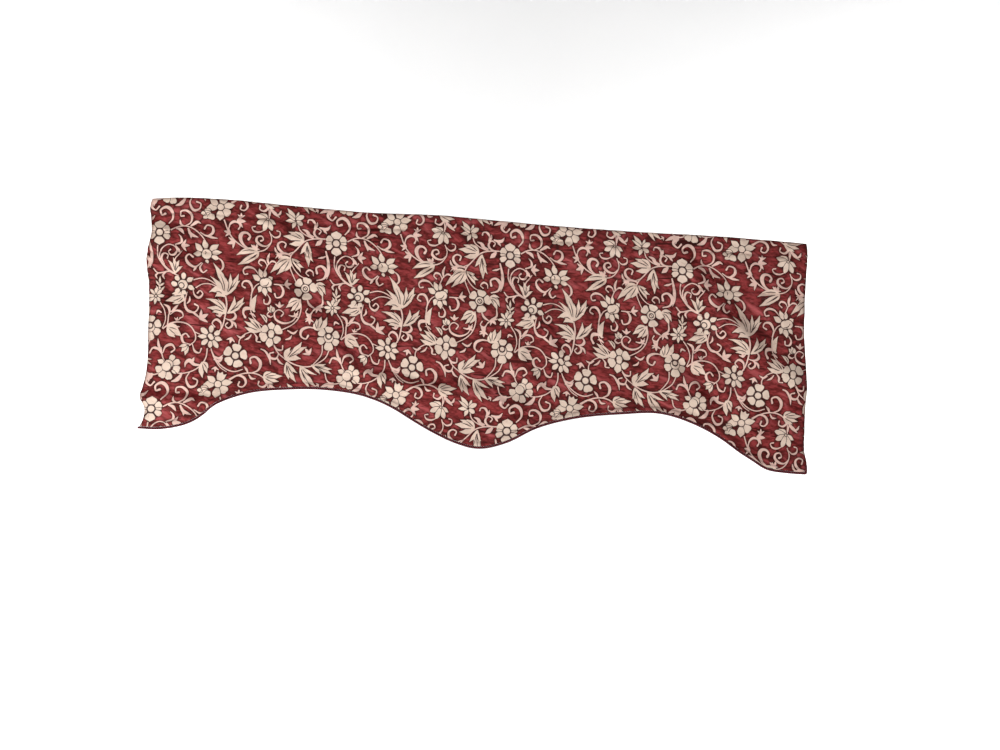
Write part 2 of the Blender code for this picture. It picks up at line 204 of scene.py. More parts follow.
# stems, curls and hooks: (stroke, width, points along it)
SCROLLS = (
    ("stem", 2.8, ((7, 20), (15, 42), (27, 58), (45, 70), (66, 76), (84, 72), (95, 60), (98, 48),
                   (94, 36))),
    ("curl", 5.6, ((15, 40), (18, 28), (26, 22), (34, 24), (37, 30), (34, 36))),
    ("curl", 9.0, ((56, 74), (43, 64), (38, 52), (42, 43), (51, 42), (57, 48), (54, 54))),
    ("curl", 6.0, ((97, 56), (88, 64), (77, 63), (69, 56), (71, 48), (79, 46), (82, 52), (77, 55))),
    ("curl", 4.4, ((86, 32), (75, 38), (64, 37), (60, 30), (66, 28))),
    ("curl", 4.4, ((95, 39), (104, 46), (113, 43), (114, 35), (108, 33))),
    ("curl", 5.8, ((20, -14), (36, -22), (48, -19), (52, -9), (46, -1), (38, -3), (40, -10))),
    ("stem", 2.4, ((94, 6), (96, -6), (93, -18), (88, -27))),
    ("hook", 8.0, ((94, -11), (101, -3), (108, 3), (113, 7))),
    ("hook", 5.0, ((107, 3), (113, 0), (116, -7))),
    ("stem", 2.4, ((148, 15), (152, 28), (164, 37), (180, 42), (200, 41))),
    ("stem", 2.8, ((200, 41), (176, 43), (160, 50), (147, 64), (136, 76), (132, 88), (133, 104),
                   (143, 128))),
    ("stem", 2.2, ((133, 88), (140, 103), (151, 115), (164, 120))),
    ("curl", 6.0, ((139, 71), (126, 76), (113, 69), (110, 59), (117, 53), (125, 56), (123, 63))),
    ("hook", 6.0, ((136, 78), (124, 75), (113, 77), (104, 86))),
    ("hook", 5.0, ((112, 77), (106, 72), (104, 64))),
    ("stem", 2.4, ((57, 172), (59, 156), (67, 141), (79, 134))),
    ("curl", 6.0, ((57, 162), (60, 147), (54, 135), (44, 135), (40, 143), (46, 147))),
    ("curl", 5.4, ((72, 119), (63, 109), (51, 107), (43, 113), (45, 121), (51, 120))),
    ("stem", 2.6, ((82, 116), (87, 104), (92, 94))),
    ("curl", 4.8, ((88, 102), (84, 93), (76, 91), (72, 97), (77, 102))),
    ("curl", 4.2, ((91, 98), (98, 92), (105, 94), (106, 101))),
    ("hook", 6.0, ((91, 99), (90, 88), (94, 77))),
    ("curl", 6.0, ((102, 136), (114, 137), (120, 147), (116, 158), (106, 161), (103, 154))),
    ("stem", 2.6, ((108, 136), (121, 136))),
    ("curl", 5.0, ((88, 155), (94, 165), (91, 174), (83, 174), (82, 167))),
    ("curl", 8.0, ((237, 30), (246, 18), (243, 4), (233, -2), (223, 4), (224, 13), (231, 11))),
    ("curl", 6.2, ((268, 34), (280, 27), (282, 14), (273, 5), (262, 6), (261, 15), (267, 15))),
    ("stem", 2.8, ((242, 43), (255, 36), (270, 34), (286, 40), (301, 53), (311, 69))),
    ("hook", 8.0, ((274, 38), (280, 50), (294, 56))),
    ("hook", 5.4, ((277, 46), (280, 52), (281, 58))),
    ("hook", 5.0, ((266, 34), (260, 30), (259, 22))),
    ("hook", 7.6, ((279, 34), (287, 29), (293, 26), (299, 29))),
    ("hook", 7.6, ((252, 39), (261, 42), (267, 50))),
    ("curl", 6.4, ((298, 46), (311, 53), (322, 46), (321, 35), (311, 32), (306, 39))),
    ("hook", 5.6, ((306, 51), (318, 55), (331, 57))),
    ("curl", 5.2, ((204, 41), (186, 40), (179, 31), (184, 22), (192, 26), (189, 32))),
    ("curl", 5.4, ((179, 24), (181, 14), (176, 7), (169, 7), (167, 12))),
    ("hook", 5.4, ((180, 23), (184, 17), (185, 10))),
    ("hook", 8.4, ((179, 39), (170, 36), (165, 29), (157, 26))),
    ("hook", 7.4, ((189, 20), (198, 22), (205, 21), (210, 14))),
    ("hook", 5.4, ((195, 22), (199, 26), (203, 31))),
    ("hook", 10.5, ((194, 43), (189, 49), (182, 55))),
    ("stem", 2.6, ((218, 73), (217, 92), (226, 110), (240, 124), (256, 131))),
    ("stem", 3.0, ((250, 128), (235, 118), (224, 104), (221, 90), (227, 78), (238, 71), (248, 73))),
    ("curl", 5.0, ((246, 72), (254, 80), (250, 90), (242, 91), (238, 85), (242, 81))),
    ("stem", 2.4, ((247, 108), (252, 97), (259, 89), (263, 83))),
    ("hook", 7.4, ((251, 73), (256, 81), (261, 87))),
    ("stem", 3.2, ((250, 128), (238, 123), (226, 126), (216, 127), (209, 119))),
    ("hook", 4.6, ((219, 127), (213, 132), (216, 139))),
    ("hook", 4.6, ((232, 125), (226, 131), (229, 139))),
    ("curl", 4.8, ((230, 110), (225, 98), (229, 89), (237, 91), (236, 98))),
    ("hook", 5.4, ((250, 71), (262, 66), (262, 57), (257, 51))),
    ("hook", 7.2, ((201, 64), (205, 82), (206, 104), (202, 118))),
    ("curl", 8.0, ((183, 122), (197, 117), (202, 104), (193, 94), (183, 98), (184, 108))),
    ("curl", 4.4, ((177, 114), (176, 106), (169, 103), (163, 109), (168, 114))),
    ("hook", 4.8, ((201, 74), (195, 77), (186, 79))),
    ("curl", 6.6, ((300, 104), (288, 113), (276, 107), (271, 96), (277, 89), (284, 94))),
    ("curl", 5.2, ((302, 105), (297, 114), (302, 123), (309, 119))),
    ("hook", 5.4, ((291, 112), (285, 121))),
    ("curl", 5.4, ((328, 92), (338, 100), (340, 112), (333, 119), (329, 114))),
    ("stem", 2.4, ((284, 138), (300, 134), (316, 138), (333, 151), (341, 164))),
    ("stem", 2.2, ((288, 153), (302, 145), (318, 145), (334, 153))),
    ("curl", 5.2, ((283, 152), (285, 166), (294, 172), (301, 164), (296, 158), (291, 163))),
    ("stem", 3.4, ((8, 166), (11, 182), (9, 202), (5, 222), (-2, 234), (-12, 246))),
    ("curl", 5.0, ((9, 208), (20, 212), (23, 220), (16, 226), (10, 221), (14, 216))),
    ("hook", 5.4, ((21, 212), (28, 217), (31, 225))),
    ("curl", 6.4, ((13, 210), (24, 209), (29, 203), (26, 196), (20, 196))),
    ("stem", 2.2, ((57, 165), (56, 184), (63, 203), (80, 217))),
    ("curl", 8.4, ((66, 191), (56, 186), (46, 187), (43, 195), (47, 203))),
    ("hook", 4.4, ((67, 201), (61, 196), (55, 196))),
    ("stem", 2.6, ((152, 160), (154, 178), (148, 198), (135, 212), (117, 222))),
    ("curl", 5.0, ((148, 184), (139, 202), (122, 209), (106, 203), (103, 191), (111, 184), (120, 189),
                   (116, 196))),
    ("hook", 4.4, ((130, 193), (139, 194), (146, 187))),
    ("curl", 4.4, ((101, 196), (95, 199), (89, 195), (92, 190))),
    ("curl", 6.6, ((184, 215), (168, 213), (155, 219), (153, 231), (162, 236), (167, 229))),
    ("hook", 5.2, ((128, 222), (139, 227), (147, 220))),
    ("hook", 5.0, ((124, 240), (132, 237), (136, 231))),
    ("stem", 2.4, ((37, 258), (38, 246), (48, 235), (62, 229), (77, 228))),
    ("hook", 4.8, ((48, 238), (40, 242), (32, 238))),
    ("curl", 5.0, ((64, 231), (70, 239), (70, 247), (77, 248))),
    ("hook", 4.6, ((60, 235), (55, 242), (47, 246))),
    ("curl", 4.8, ((102, 251), (109, 260), (118, 260), (119, 252))),
    ("stem", 2.6, ((103, 254), (111, 267), (125, 278))),
    ("curl", 5.4, ((112, 266), (108, 277), (98, 277), (95, 269), (102, 266))),
    ("hook", 5.6, ((78, 261), (87, 265), (95, 278), (97, 290))),
    ("hook", 5.0, ((108, 274), (114, 284), (121, 288))),
    ("stem", 3.0, ((123, 277), (140, 286), (160, 290), (181, 286))),
    ("stem", 2.8, ((-13, 272), (-2, 290), (14, 303), (30, 307), (45, 302))),
    ("hook", 5.2, ((-9, 286), (2, 289), (8, 281))),
    ("curl", 7.4, ((62, 308), (75, 301), (78, 287), (69, 277), (59, 280), (60, 289))),
    ("stem", 2.8, ((20, 325), (34, 315), (50, 309), (66, 308), (81, 313), (92, 326), (93, 347))),
    ("hook", 5.4, ((56, 309), (53, 302), (48, 296))),
    ("hook", 5.2, ((57, 311), (62, 318), (70, 318))),
    ("curl", 5.2, ((84, 315), (91, 325), (84, 333), (75, 330), (76, 323))),
    ("stem", 2.2, ((222, 184), (231, 198), (234, 216), (229, 232))),
    ("hook", 5.0, ((226, 203), (219, 200), (216, 206))),
    ("stem", 2.8, ((238, 236), (239, 216), (240, 204), (246, 198))),
    ("hook", 6.5, ((241, 206), (239, 193), (229, 187))),
    ("hook", 6.5, ((244, 201), (250, 194), (256, 187))),
    ("curl", 4.8, ((242, 206), (252, 198), (263, 200), (266, 208), (260, 212))),
    ("stem", 3.0, ((230, 233), (244, 222), (262, 219), (279, 224), (290, 238), (291, 252), (281, 262))),
    ("curl", 5.8, ((283, 260), (270, 257), (266, 246), (273, 240), (279, 246))),
    ("stem", 2.2, ((289, 236), (301, 241))),
    ("curl", 5.0, ((286, 259), (291, 272), (300, 275), (303, 267))),
    ("curl", 5.8, ((272, 162), (268, 183), (275, 197), (288, 199), (294, 189), (287, 184))),
    ("hook", 5.0, ((277, 196), (289, 203), (300, 212))),
    ("hook", 4.6, ((272, 184), (277, 178), (277, 170))),
    ("curl", 5.6, ((338, 231), (337, 217), (328, 211), (321, 218), (326, 225))),
    ("stem", 2.6, ((314, 266), (313, 282), (305, 297), (290, 309), (270, 315), (252, 313))),
    ("stem", 2.2, ((321, 266), (328, 284), (339, 300), (351, 308))),
    ("hook", 6.0, ((327, 280), (337, 284), (344, 277))),
    ("curl", 6.0, ((284, 312), (278, 325), (285, 339), (296, 337), (299, 327), (291, 323))),
    ("hook", 9.4, ((270, 314), (266, 322), (260, 328), (251, 331))),
    ("hook", 9.0, ((302, 298), (291, 297), (283, 290), (276, 295), (275, 303))),
    ("hook", 6.4, ((284, 295), (288, 291), (291, 284))),
    ("stem", 2.6, ((199, 300), (204, 315), (220, 319), (236, 312))),
    ("curl", 6.4, ((222, 319), (209, 322), (205, 333), (213, 340), (220, 333))),
    ("hook", 8.4, ((216, 318), (204, 321), (190, 328))),
    ("hook", 7.4, ((216, 318), (213, 324), (206, 329))),
    ("stem", 2.6, ((236, 293), (231, 281), (229, 268))),
    ("hook", 6.0, ((230, 276), (224, 264), (222, 252))),
    ("curl", 6.2, ((231, 281), (223, 271), (213, 270), (208, 279))),
    ("curl", 6.0, ((232, 279), (237, 266), (248, 262), (254, 270), (248, 276))),
    ("stem", 2.4, ((194, 246), (193, 262), (185, 275), (175, 286))),
    ("stem", 2.4, ((207, 255), (200, 270), (186, 281), (176, 287))),
    ("hook", 5.4, ((164, 156), (169, 169), (181, 177))),
    ("hook", 5.4, ((194, 153), (194, 166), (183, 175), (174, 184))),
    ("curl", 4.6, ((178, 178), (171, 189), (163, 185), (166, 178))),
)

# sprouts, small tips of three lobes: (u, v, hour of the clock, reach)
SPROUTS = (
    (32, 20, 3, 17), (19, 45, 9.5, 13), (28, 60, 8.3, 16), (40, 14, 12, 10),
    (122, 135, 2.6, 14), (262, 72, 3, 16), (23, 243, 6.5, 12),
    (141, 195, 1.6, 10), (172, 197, 10.5, 12), (170, 196, 6, 12), (170, 266, 10.8, 15),
    (297, 211, 2, 19), (253, 228, 4.6, 10), (254, 217, 0.6, 8), (184, 172, 4.6, 14),
    (116, 76, 7, 12), (212, 327, 8.5, 8), (331, 300, 6.2, 10), (187, 322, 8, 7),
    (69, 74, 10.5, 15), (335, 206, 11.5, 10), (112, 180, 12, 12), (66, 72, 1.2, 10),
)
# their lobes: (turn in hours, reach, width and how far the tip leans outwards, as shares)
SPROUT_LOBES = ((-1.15, 0.90, 0.30, -0.30), (1.15, 0.90, 0.30, 0.30), (0, 1.0, 0.40, 0))


def clock(hour):
    """Direction of an hour of the clock on the chart, 12 being up."""
    turn = math.radians(hour * 30)
    return np.array([math.sin(turn), -math.cos(turn)])


def smooth_line(points, steps):
    """Points of a smooth line through a few charted ones."""
    spots = np.array(points, float)
    ends = np.vstack([2 * spots[0] - spots[1], spots, 2 * spots[-1] - spots[-2]])
    a, b, c, d = ends[:-3], ends[1:-2], ends[2:-1], ends[3:]
    parts = []
    for t in np.arange(steps) / steps:
        bow = (2 * a - 5 * b + 4 * c - d) * t ** 2 + (3 * b - a - 3 * c + d) * t ** 3
        parts.append(0.5 * (2 * b + (c - a) * t + bow))
    return np.vstack([np.stack(parts, 1).reshape(-1, 2), spots[-1:]])


def left_of(run):
    """Unit steps to one side of a line, from its directions."""
    return np.stack([-run[:, 1], run[:, 0]], 1) / np.hypot(run[:, 0], run[:, 1])[:, None]


def stroke(kind, width, points):
    """Outline of a stem, curl or hook along the points, with a round end."""
    line = smooth_line(points, STROKE_STEPS[kind])
    run = np.gradient(line, axis=0)
    pace = np.hypot(run[:, 0], run[:, 1])
    turn = np.gradient(run, axis=0)
    bend = (run[:, 0] * turn[:, 1] - run[:, 1] * turn[:, 0]) / pace ** 3
    side = left_of(run)
    travelled = np.concatenate([[0], np.cumsum(np.hypot(*np.diff(line, axis=0).T))])
    share, breadth = np.array(STROKES[kind], float).T
    half = width / 2 * np.interp(travelled / travelled[-1], share, breadth)
    inner_room = INNER_ROOM / np.maximum(np.abs(bend), 1e-6)
    left_half = np.where(bend > 0, np.minimum(half, inner_room), half)
    right_half = np.where(bend < 0, np.minimum(half, inner_room), half)
    left = line + side * left_half[:, None]
    right = line - side * right_half[:, None]
    ahead = run[-1] / pace[-1]
    cap = []
    for angle in CAP_ANGLES:
        swing = math.radians(angle)
        cap.append(line[-1] + half[-1] * (side[-1] * math.cos(swing) + ahead * math.sin(swing)))
    return np.vstack([left, cap, right[::-1]])


def petal_spine(u, v, hour, start, reach, lean, share):
    """Middle line of a petal at shares of the way out, and the direction across it."""
    out = clock(hour)
    across = np.array([-out[1], out[0]])
    spine = np.array([u, v]) + out * (start + (reach - start) * share)[:, None]
    return spine + across * (lean * reach * share ** 2)[:, None], across


def petal(u, v, hour, start, reach, width, shape, lean):
    """Outline of a petal that grows from the middle of its flower towards an hour of the clock."""
    share, breadth = np.array(PETALS[shape], float).T
    spine, across = petal_spine(u, v, hour, start, reach, lean, share)
    half = across * (breadth * width / 2)[:, None]
    return np.vstack([spine + half, (spine - half)[-2::-1]])


def petal_rim(u, v, hour, start, reach, width, shape, lean):
    """Outline of the dark yarn beside the inner part of a petal."""
    share = np.array([-RIM / (reach - start), *RIM_AT])
    known, breadth = np.array(PETALS[shape][:RIM_PROFILE], float).T
    half = np.interp(share, known, breadth) * width / 2 + RIM
    half[-1] *= RIM_END
    spine, across = petal_spine(u, v, hour, start, reach, lean, share)
    return np.vstack([spine + across * half[:, None], (spine - across * half[:, None])[::-1]])


def disc(u, v, radius):
    """A round heart."""
    turn = np.arange(HEART_SIDES) * 2 * math.pi / HEART_SIDES
    return np.stack([u + radius * np.sin(turn), v - radius * np.cos(turn)], 1)


def leaf(u, v, lobes):
    """Outlines of a leaf's lobes, which spread from its foot, and of the dark lines between them."""
    foot = np.array([u, v], float)
    outlines, spines = [], []
    for tip_u, tip_v, width, bow in lobes:
        axis = np.array([tip_u, tip_v]) - foot
        across = np.array([-axis[1], axis[0]])
        share, breadth = np.array(PETALS["blade"], float).T
        spine = foot + axis * share[:, None] + across * (4 * bow * share * (1 - share))[:, None]
        half = across / np.hypot(*axis) * (breadth * width / 2)[:, None]
        outlines.append(np.vstack([spine + half, (spine - half)[-2::-1]]))
        spines.append(spine)
    lines = []
    for spine, beside in zip(spines, spines[1:]):
        middle = ((spine + beside) / 2)[1:5]
        side = left_of(np.gradient(middle, axis=0))
        half = side * (GROOVE / 2 * np.array(GROOVE_TAPER))[:, None]
        lines.append(np.vstack([middle + half, (middle - half)[::-1]]))
    return outlines, lines


def draw_repeat():
    """All the shapes of one repeat, the lowest first: (motif, yarn, outline)."""
    shapes = []
    for kind, width, points in SCROLLS:
        shapes.append(("scrolls", "cream", stroke(kind, width, points)))
    for u, v, hour, reach in SPROUTS:
        for turn, share, breadth, lean in SPROUT_LOBES:
            tooth = petal(u, v, hour + turn, 0, reach * share, reach * breadth, "tooth", lean)
            shapes.append(("scrolls", "cream", tooth))
    for u, v, lobes in LEAVES:
        outlines, lines = leaf(u, v, lobes)
        shapes += [("leaves", "cream", outline) for outline in outlines]
        shapes += [("leaves", "dark", line) for line in lines]
    for _name, u, v, start, petals, heart in FLOWERS:
        for hour, reach, width, shape, lean in petals:
            shape_of_petal = (u, v, hour, start, reach, width, shape, lean)
            shapes.append(("flowers", "dark", petal_rim(*shape_of_petal)))
            shapes.append(("flowers", "cream", petal(*shape_of_petal)))
        for yarn, aside, down, radius in heart:
            shapes.append(("flowers", yarn, disc(u + aside, v + down, radius)))
    for width, points in CURLED_LINES:
        shapes.append(("flowers", "dark", stroke("line", width, points)))
    return shapes


# ------------------------------------------------------------------------------------------
# The cloth. One length of the figured weave, cut to a scallop at its foot. Its top is turned
# down behind and sewn along two lines, which makes a header and an open rod pocket, and it
# hangs from its top edge in slack folds. Lengths are in mm, drop is down from the top edge.

MM = 0.001
SHEET = 1.1                # the cloth's own thickness
SOLID_SHEET = 1.5          # thickness of the plain solid that this cloth replaces
TOP_ROUNDING = 2.0         # the cloth starts to turn over this far below its top edge
HEADER_SEAM = 32.0
POCKET_SEAM = 105.0
TURNED_EDGE = 115.0        # free edge of the part that is turned down behind
POCKET_FRONT_SWELL = 2.5
POCKET_BACK_SWELL = 11.0
POCKET_BACK_SQUARENESS = 0.55      # below 1, so the pocket's back is flatter than an arch
POCKET_SLACK = (0.7, 34, 15, 31)   # hills on it: height, length along x and z, random seed
HEADER_BACK_SWELL = 1.2
FOLD_SHARE_IN_HEADING = 0.15       # the heading holds the folds down to this share
HEADING_EASE = 45.0                # and lets them go over this far below it

# side edges: (drop, x of the left side, x of the right side)
SIDE_STATIONS = (
    (0, -634, 637), (9, -636.5, 638.5), (68, -631, 640), (115, -638, 641), (170, -630, 644),
    (250, -626, 653), (350, -625, 658), (388, -632, 660), (412, -622, 663), (434, -624, 668),
    (449, -631, 664),
)
LEFT, RIGHT = 1, 2         # their columns
INWARDS = ((LEFT, 1), (RIGHT, -1))
# top edge: (x, height above the origin)
TOP_STATIONS = (
    (-640, -5), (-600, 0), (-500, 4), (-380, 1), (-220, -2.5), (-60, 1.5), (0, 0), (140, -3.5),
    (330, -4), (460, -2), (640, -4.5),
)
# scalloped hem: (x, drop)
HEM_STATIONS = (
    (-632, 447), (-590, 445), (-545, 431), (-500, 400), (-430, 366), (-350, 351.5),
    (-270, 347.5), (-190, 357), (-130, 378), (-70, 413), (-20, 433), (30, 440), (75, 426),
    (130, 398), (200, 373.5), (300, 355.5), (385, 349.5), (440, 362.5), (500, 389), (545, 420),
    (585, 442), (625, 447), (668, 447.5),
)
# sway of the whole panel: (x, how far it stands forward at its foot)
SWAY_STATIONS = ((-640, -5), (-440, 4), (-200, -3), (40, 6), (280, -3), (480, 3), (670, -6))

# folds: (name, height towards the viewer, half width, crest or bottom as (x, z) points)
FOLDS = (
    ("turned fold above the left corner", 8, 16, ((-650, -393), (-560, -392), (-490, -388))),
    ("swag over the middle point", 8, 20,
        ((-245, -280), (-190, -322), (-100, -335), (25, -339), (95, -357))),
    ("hollow above the swag", -4, 18, ((-175, -296), (-60, -302), (50, -303))),
    ("long slanting ridge", 13, 26,
        ((400, -82), (445, -132), (492, -178), (545, -222), (625, -262))),
    ("hollow beside the long ridge", -9, 20, ((440, -62), (500, -102), (560, -165), (602, -215))),
    ("short slanting hollow", -6, 13, ((405, -248), (448, -283), (482, -318), (515, -362))),
    ("ridge at the upper right corner", 5, 14, ((545, -62), (585, -92), (642, -135))),
    ("right shoulder", 7, 30, ((575, -292), (655, -286))),
    ("hollow at the lower right", -6, 20, ((545, -398), (600, -412), (668, -404))),
    ("hem roll of the right arch", 4, 15, ((290, -358), (385, -352), (445, -364))),
    ("left shoulder", 8, 34, ((-605, -103), (-555, -113))),
    ("hollow below the header, left", -6, 15, ((-650, -45), (-560, -42), (-425, -56))),
    ("slanting hollow, left", -4, 16, ((-472, -98), (-410, -121), (-345, -140))),
    ("slanting ridge, left", 4, 13, ((-402, -140), (-345, -183), (-298, -224))),
    ("upright hollow, left", -4, 13, ((-594, -138), (-588, -190))),
    ("slack of the middle", 4, 28, ((-75, -148), (-10, -180), (60, -205))),
    ("slanting ridge, middle", 3, 16, ((125, -183), (172, -254))),
    ("low slanting ridge, middle", 3, 16, ((92, -255), (152, -336))),
)
# creases, most of them finer than the folds, and as high in the heading: the same columns
CREASES = (
    ("header hollow, left", -5, 10, ((-640, -32), (-600, -48), (-555, -58))),
    ("second header hollow, left", -2.5, 9, ((-485, -52), (-420, -50))),
    ("pocket bulge, left", 2.5, 15, ((-622, -88), (-590, -108), (-560, -128))),
    ("slack under the pocket, left", -2, 8, ((-470, -108), (-415, -122), (-360, -130))),
    ("short ridge, left", 2.5, 9, ((-392, -202), (-352, -238))),
    ("upright ridge, left", 2.5, 10, ((-300, -240), (-298, -318))),
    ("sharp bottom over the swag", -5, 8, ((-240, -262), (-200, -300), (-90, -318), (0, -320))),
    ("sharp crest of the swag", 3.2, 8, ((-150, -334), (-40, -338), (30, -345), (80, -368))),
    ("puff", 3, 12, ((-66, -145), (-30, -147))),
    ("second puff", 2.6, 11, ((72, -182), (104, -188))),
    ("third puff", 3, 10, ((-10, -204), (18, -213), (47, -225))),
    ("header puff", 1.8, 12, ((-176, -61), (-160, -63))),
    ("second header puff", 1.8, 12, ((-66, -45), (-52, -46))),
    ("slanting crease, middle", 2, 6, ((130, -190), (170, -250))),
    ("second slanting crease, middle", 2, 6, ((100, -260), (150, -330))),
    ("hollow over the right hem", -4.5, 10, ((225, -352), (300, -341), (370, -337), (440, -346))),
    ("crest of the long ridge", 6.5, 14, ((418, -76), (462, -122), (506, -166), (552, -206))),
    ("bottom beside the long ridge", -6, 10, ((424, -44), (462, -66), (504, -88))),
    ("rise past that bottom", 8, 20, ((545, -148), (566, -172), (606, -212))),
    ("foot of the long ridge", 3, 9, ((500, -222), (547, -236))),
    ("rise over the short bottom", 3, 9, ((382, -232), (436, -238))),
    ("small ridge, right", 3, 8, ((560, -80), (592, -102), (622, -120))),
    ("short bottom, right", -5, 10, ((415, -258), (444, -281), (470, -300))),
    ("shoulder crest", 4, 12, ((575, -285), (650, -283))),
    ("streak, right", 2.2, 6, ((450, -340), (480, -370))),
    ("bottom above the left corner", -7, 9, ((-640, -373), (-560, -377), (-500, -376))),
    ("middle ridge, right of the point", 2.4, 8, ((210, -150), (262, -215), (300, -262))),
    ("hollow above the corner ridge", -3, 9, ((574, -58), (622, -82))),
    ("hollow at the lower right corner", -2.5, 9, ((576, -370), (622, -366))),
    ("roll of the lower right corner", 2.5, 9, ((612, -424), (650, -427))),
    ("roll of the lower left corner", 3, 11, ((-619, -428), (-572, -416), (-540, -400))),
    ("end of the slanting hollow", -3, 9, ((-352, -142), (-311, -175), (-282, -198))),
    ("hollow above the first puff", -2.2, 8, ((-67, -124), (20, -126))),
    ("slack, left", 2.2, 10, ((-398, -225), (-362, -230))),
    ("pucker under the pocket, middle", 2, 7, ((-230, -118), (-180, -150))),
    ("pucker under the pocket, right", 2, 7, ((245, -118), (292, -146))),
)

SEAM_DEPTH = 1.4
SEAM_HALF_WIDTH = 2.4
SEAM_LIP = 1.1             # the cloth puffs up again beside a seam
SEAM_LIP_AT = 6.0
SEAM_LIP_SHARPNESS = 1.6
SEAM_PUCKER = (0.5, 9, 60, 21)     # hills along a seam: the same columns as POCKET_SLACK
TOP_ROLL = 3.0             # the top of the header bends back
TOP_ROLL_LENGTH = 9.0
SIDE_CURL = 2.5            # and the sides bend back a little
SIDE_CURL_LENGTH = 8.0
# crinkles of the weave: (height, length along x, length along z, random seed)
CRINKLES = ((2.0, 50, 17, 3), (0.9, 23, 9.5, 8))
CRINKLE_DRIFT = (0.9, 150, 60)     # they wander by hills of this height, length along x and z
CRINKLE_SLANT = 260                # and slant by one crinkle over this length
CRINKLE_MEAN = 0.35                # their mean, taken off again
HILL_GRID = (101, 103)             # random hills come again after so many units
SLOPE_STEP = 2.0                   # the hem's slope is taken over this far to each side


def through(stations, column, place):
    """Value at each place of a smooth curve through one column of a table."""
    table = np.array(stations, float)
    at, value = table[:, 0], table[:, column]
    slope = np.gradient(value, at)
    i = np.clip(np.searchsorted(at, place) - 1, 0, len(at) - 2)
    span = at[i + 1] - at[i]
    t = np.clip((place - at[i]) / span, 0, 1)
    from_left = (1 + 2 * t) * (1 - t) ** 2 * value[i] + t * (1 - t) ** 2 * span * slope[i]
    from_right = t * t * (3 - 2 * t) * value[i + 1] - t * t * (1 - t) * span * slope[i + 1]
    return from_left + from_right


def distance_to_path(x, z, path):
    """Shortest distance from each point to a line through the path's points."""
    nearest = np.full(x.shape, np.inf)
    for (x0, z0), (x1, z1) in zip(path, path[1:]):
        run, fall = x1 - x0, z1 - z0
        along = np.clip(((x - x0) * run + (z - z0) * fall) / (run * run + fall * fall), 0, 1)
        nearest = np.minimum(nearest, np.hypot(x - x0 - along * run, z - z0 - along * fall))
    return nearest


def humps(table, x, z):
    """Sum of the soft ridges and troughs of a table."""
    height = np.zeros(x.shape)
    for _name, crest, half_width, path in table:
        height += crest * np.exp(-(distance_to_path(x, z, path) / half_width) ** 2)
    return height


def unevenness(x, z, seed):
    """Smooth random hills between -1 and 1, about one unit apart."""
    wide, tall = HILL_GRID
    grid = np.random.default_rng(seed).uniform(-1, 1, HILL_GRID)
    column, row = np.floor(x).astype(int), np.floor(z).astype(int)
    across, up = x - column, z - row
    across = across * across * (3 - 2 * across)
    up = up * up * (3 - 2 * up)
    here, beside = column % wide, (column + 1) % wide
    low, high = row % tall, (row + 1) % tall
    near = grid[here, low] * (1 - across) + grid[beside, low] * across
    far = grid[here, high] * (1 - across) + grid[beside, high] * across
    return near * (1 - up) + far * up


def hills(recipe, x, z):
    """Random hills by height, length along x, length along z and random seed."""
    height, wide, tall, seed = recipe
    return height * unevenness(x / wide, z / tall, seed)


def side_x(side, drop):
    return through(SIDE_STATIONS, side, drop)


def hem_drop(x):
    return through(HEM_STATIONS, 1, x)


def drop_of(x, z):
    """Drop below the top edge: the edge's own rise fades out towards the hem."""
    foot = hem_drop(x)
    rise = through(TOP_STATIONS, 1, x)
    return (rise - z) / (1 + rise / foot)


def height_of(x, drop):
    return -drop + through(TOP_STATIONS, 1, x) * np.clip(1 - drop / hem_drop(x), 0, 1)


def hang(x, drop):
    """How far the front stands towards the viewer: folds, creases, seams and crinkles."""
    z = -drop
    below_heading = np.clip((drop - POCKET_SEAM) / HEADING_EASE, 0, 1)
    share = FOLD_SHARE_IN_HEADING + (1 - FOLD_SHARE_IN_HEADING) * below_heading
    pocket = np.clip((drop - HEADER_SEAM) / (POCKET_SEAM - HEADER_SEAM), 0, 1)
    forward = humps(FOLDS, x, z) * share + POCKET_FRONT_SWELL * np.sin(np.pi * pocket)
    forward += through(SWAY_STATIONS, 1, x) * np.clip(drop / hem_drop(np.zeros(1))[0], 0, 1)
    forward += humps(CREASES, x, z)
    pucker = 1 + hills(SEAM_PUCKER, x, z)
    for seam in (HEADER_SEAM, POCKET_SEAM):
        forward -= SEAM_DEPTH * pucker * np.exp(-((drop - seam) / SEAM_HALF_WIDTH) ** 2)
        for side in (-1, 1):
            past_lip = (drop - seam - side * SEAM_LIP_AT) / SEAM_LIP_AT * SEAM_LIP_SHARPNESS
            forward += SEAM_LIP * pucker * np.exp(-past_lip ** 2)
    for height, wide, tall, seed in CRINKLES:
        drift = hills((*CRINKLE_DRIFT, seed + 1), x, z)
        hill = unevenness(x / wide + drift, z / tall + x / CRINKLE_SLANT + 2 * drift, seed)
        forward += height * ((1 - np.abs(hill)) ** 2 - CRINKLE_MEAN)
    forward -= TOP_ROLL * np.exp(-np.maximum(drop, 0) / TOP_ROLL_LENGTH)
    for side in (LEFT, RIGHT):
        inwards = np.abs(x - side_x(side, drop))
        forward -= SIDE_CURL * np.exp(-inwards / SIDE_CURL_LENGTH)
    return forward


LAYER_GAP = 0.25           # between the front and the part turned down behind it
FOLD_RADIUS = SHEET + LAYER_GAP / 2
FOLD_LENGTH = math.pi * FOLD_RADIUS
FOLD_ROWS = 4
SIDE_HEM = 12.0            # turned hems behind the sides and the foot
HEM_LAYER = 0.9
HEM_EDGE_EASE = 1.5
SIDE_HEM_FROM = 120.0
SIDE_HEM_TO = 436.0
HEM_START_EASE = 4.0


def front_y(x, drop):
    return -SOLID_SHEET - hang(x, drop)


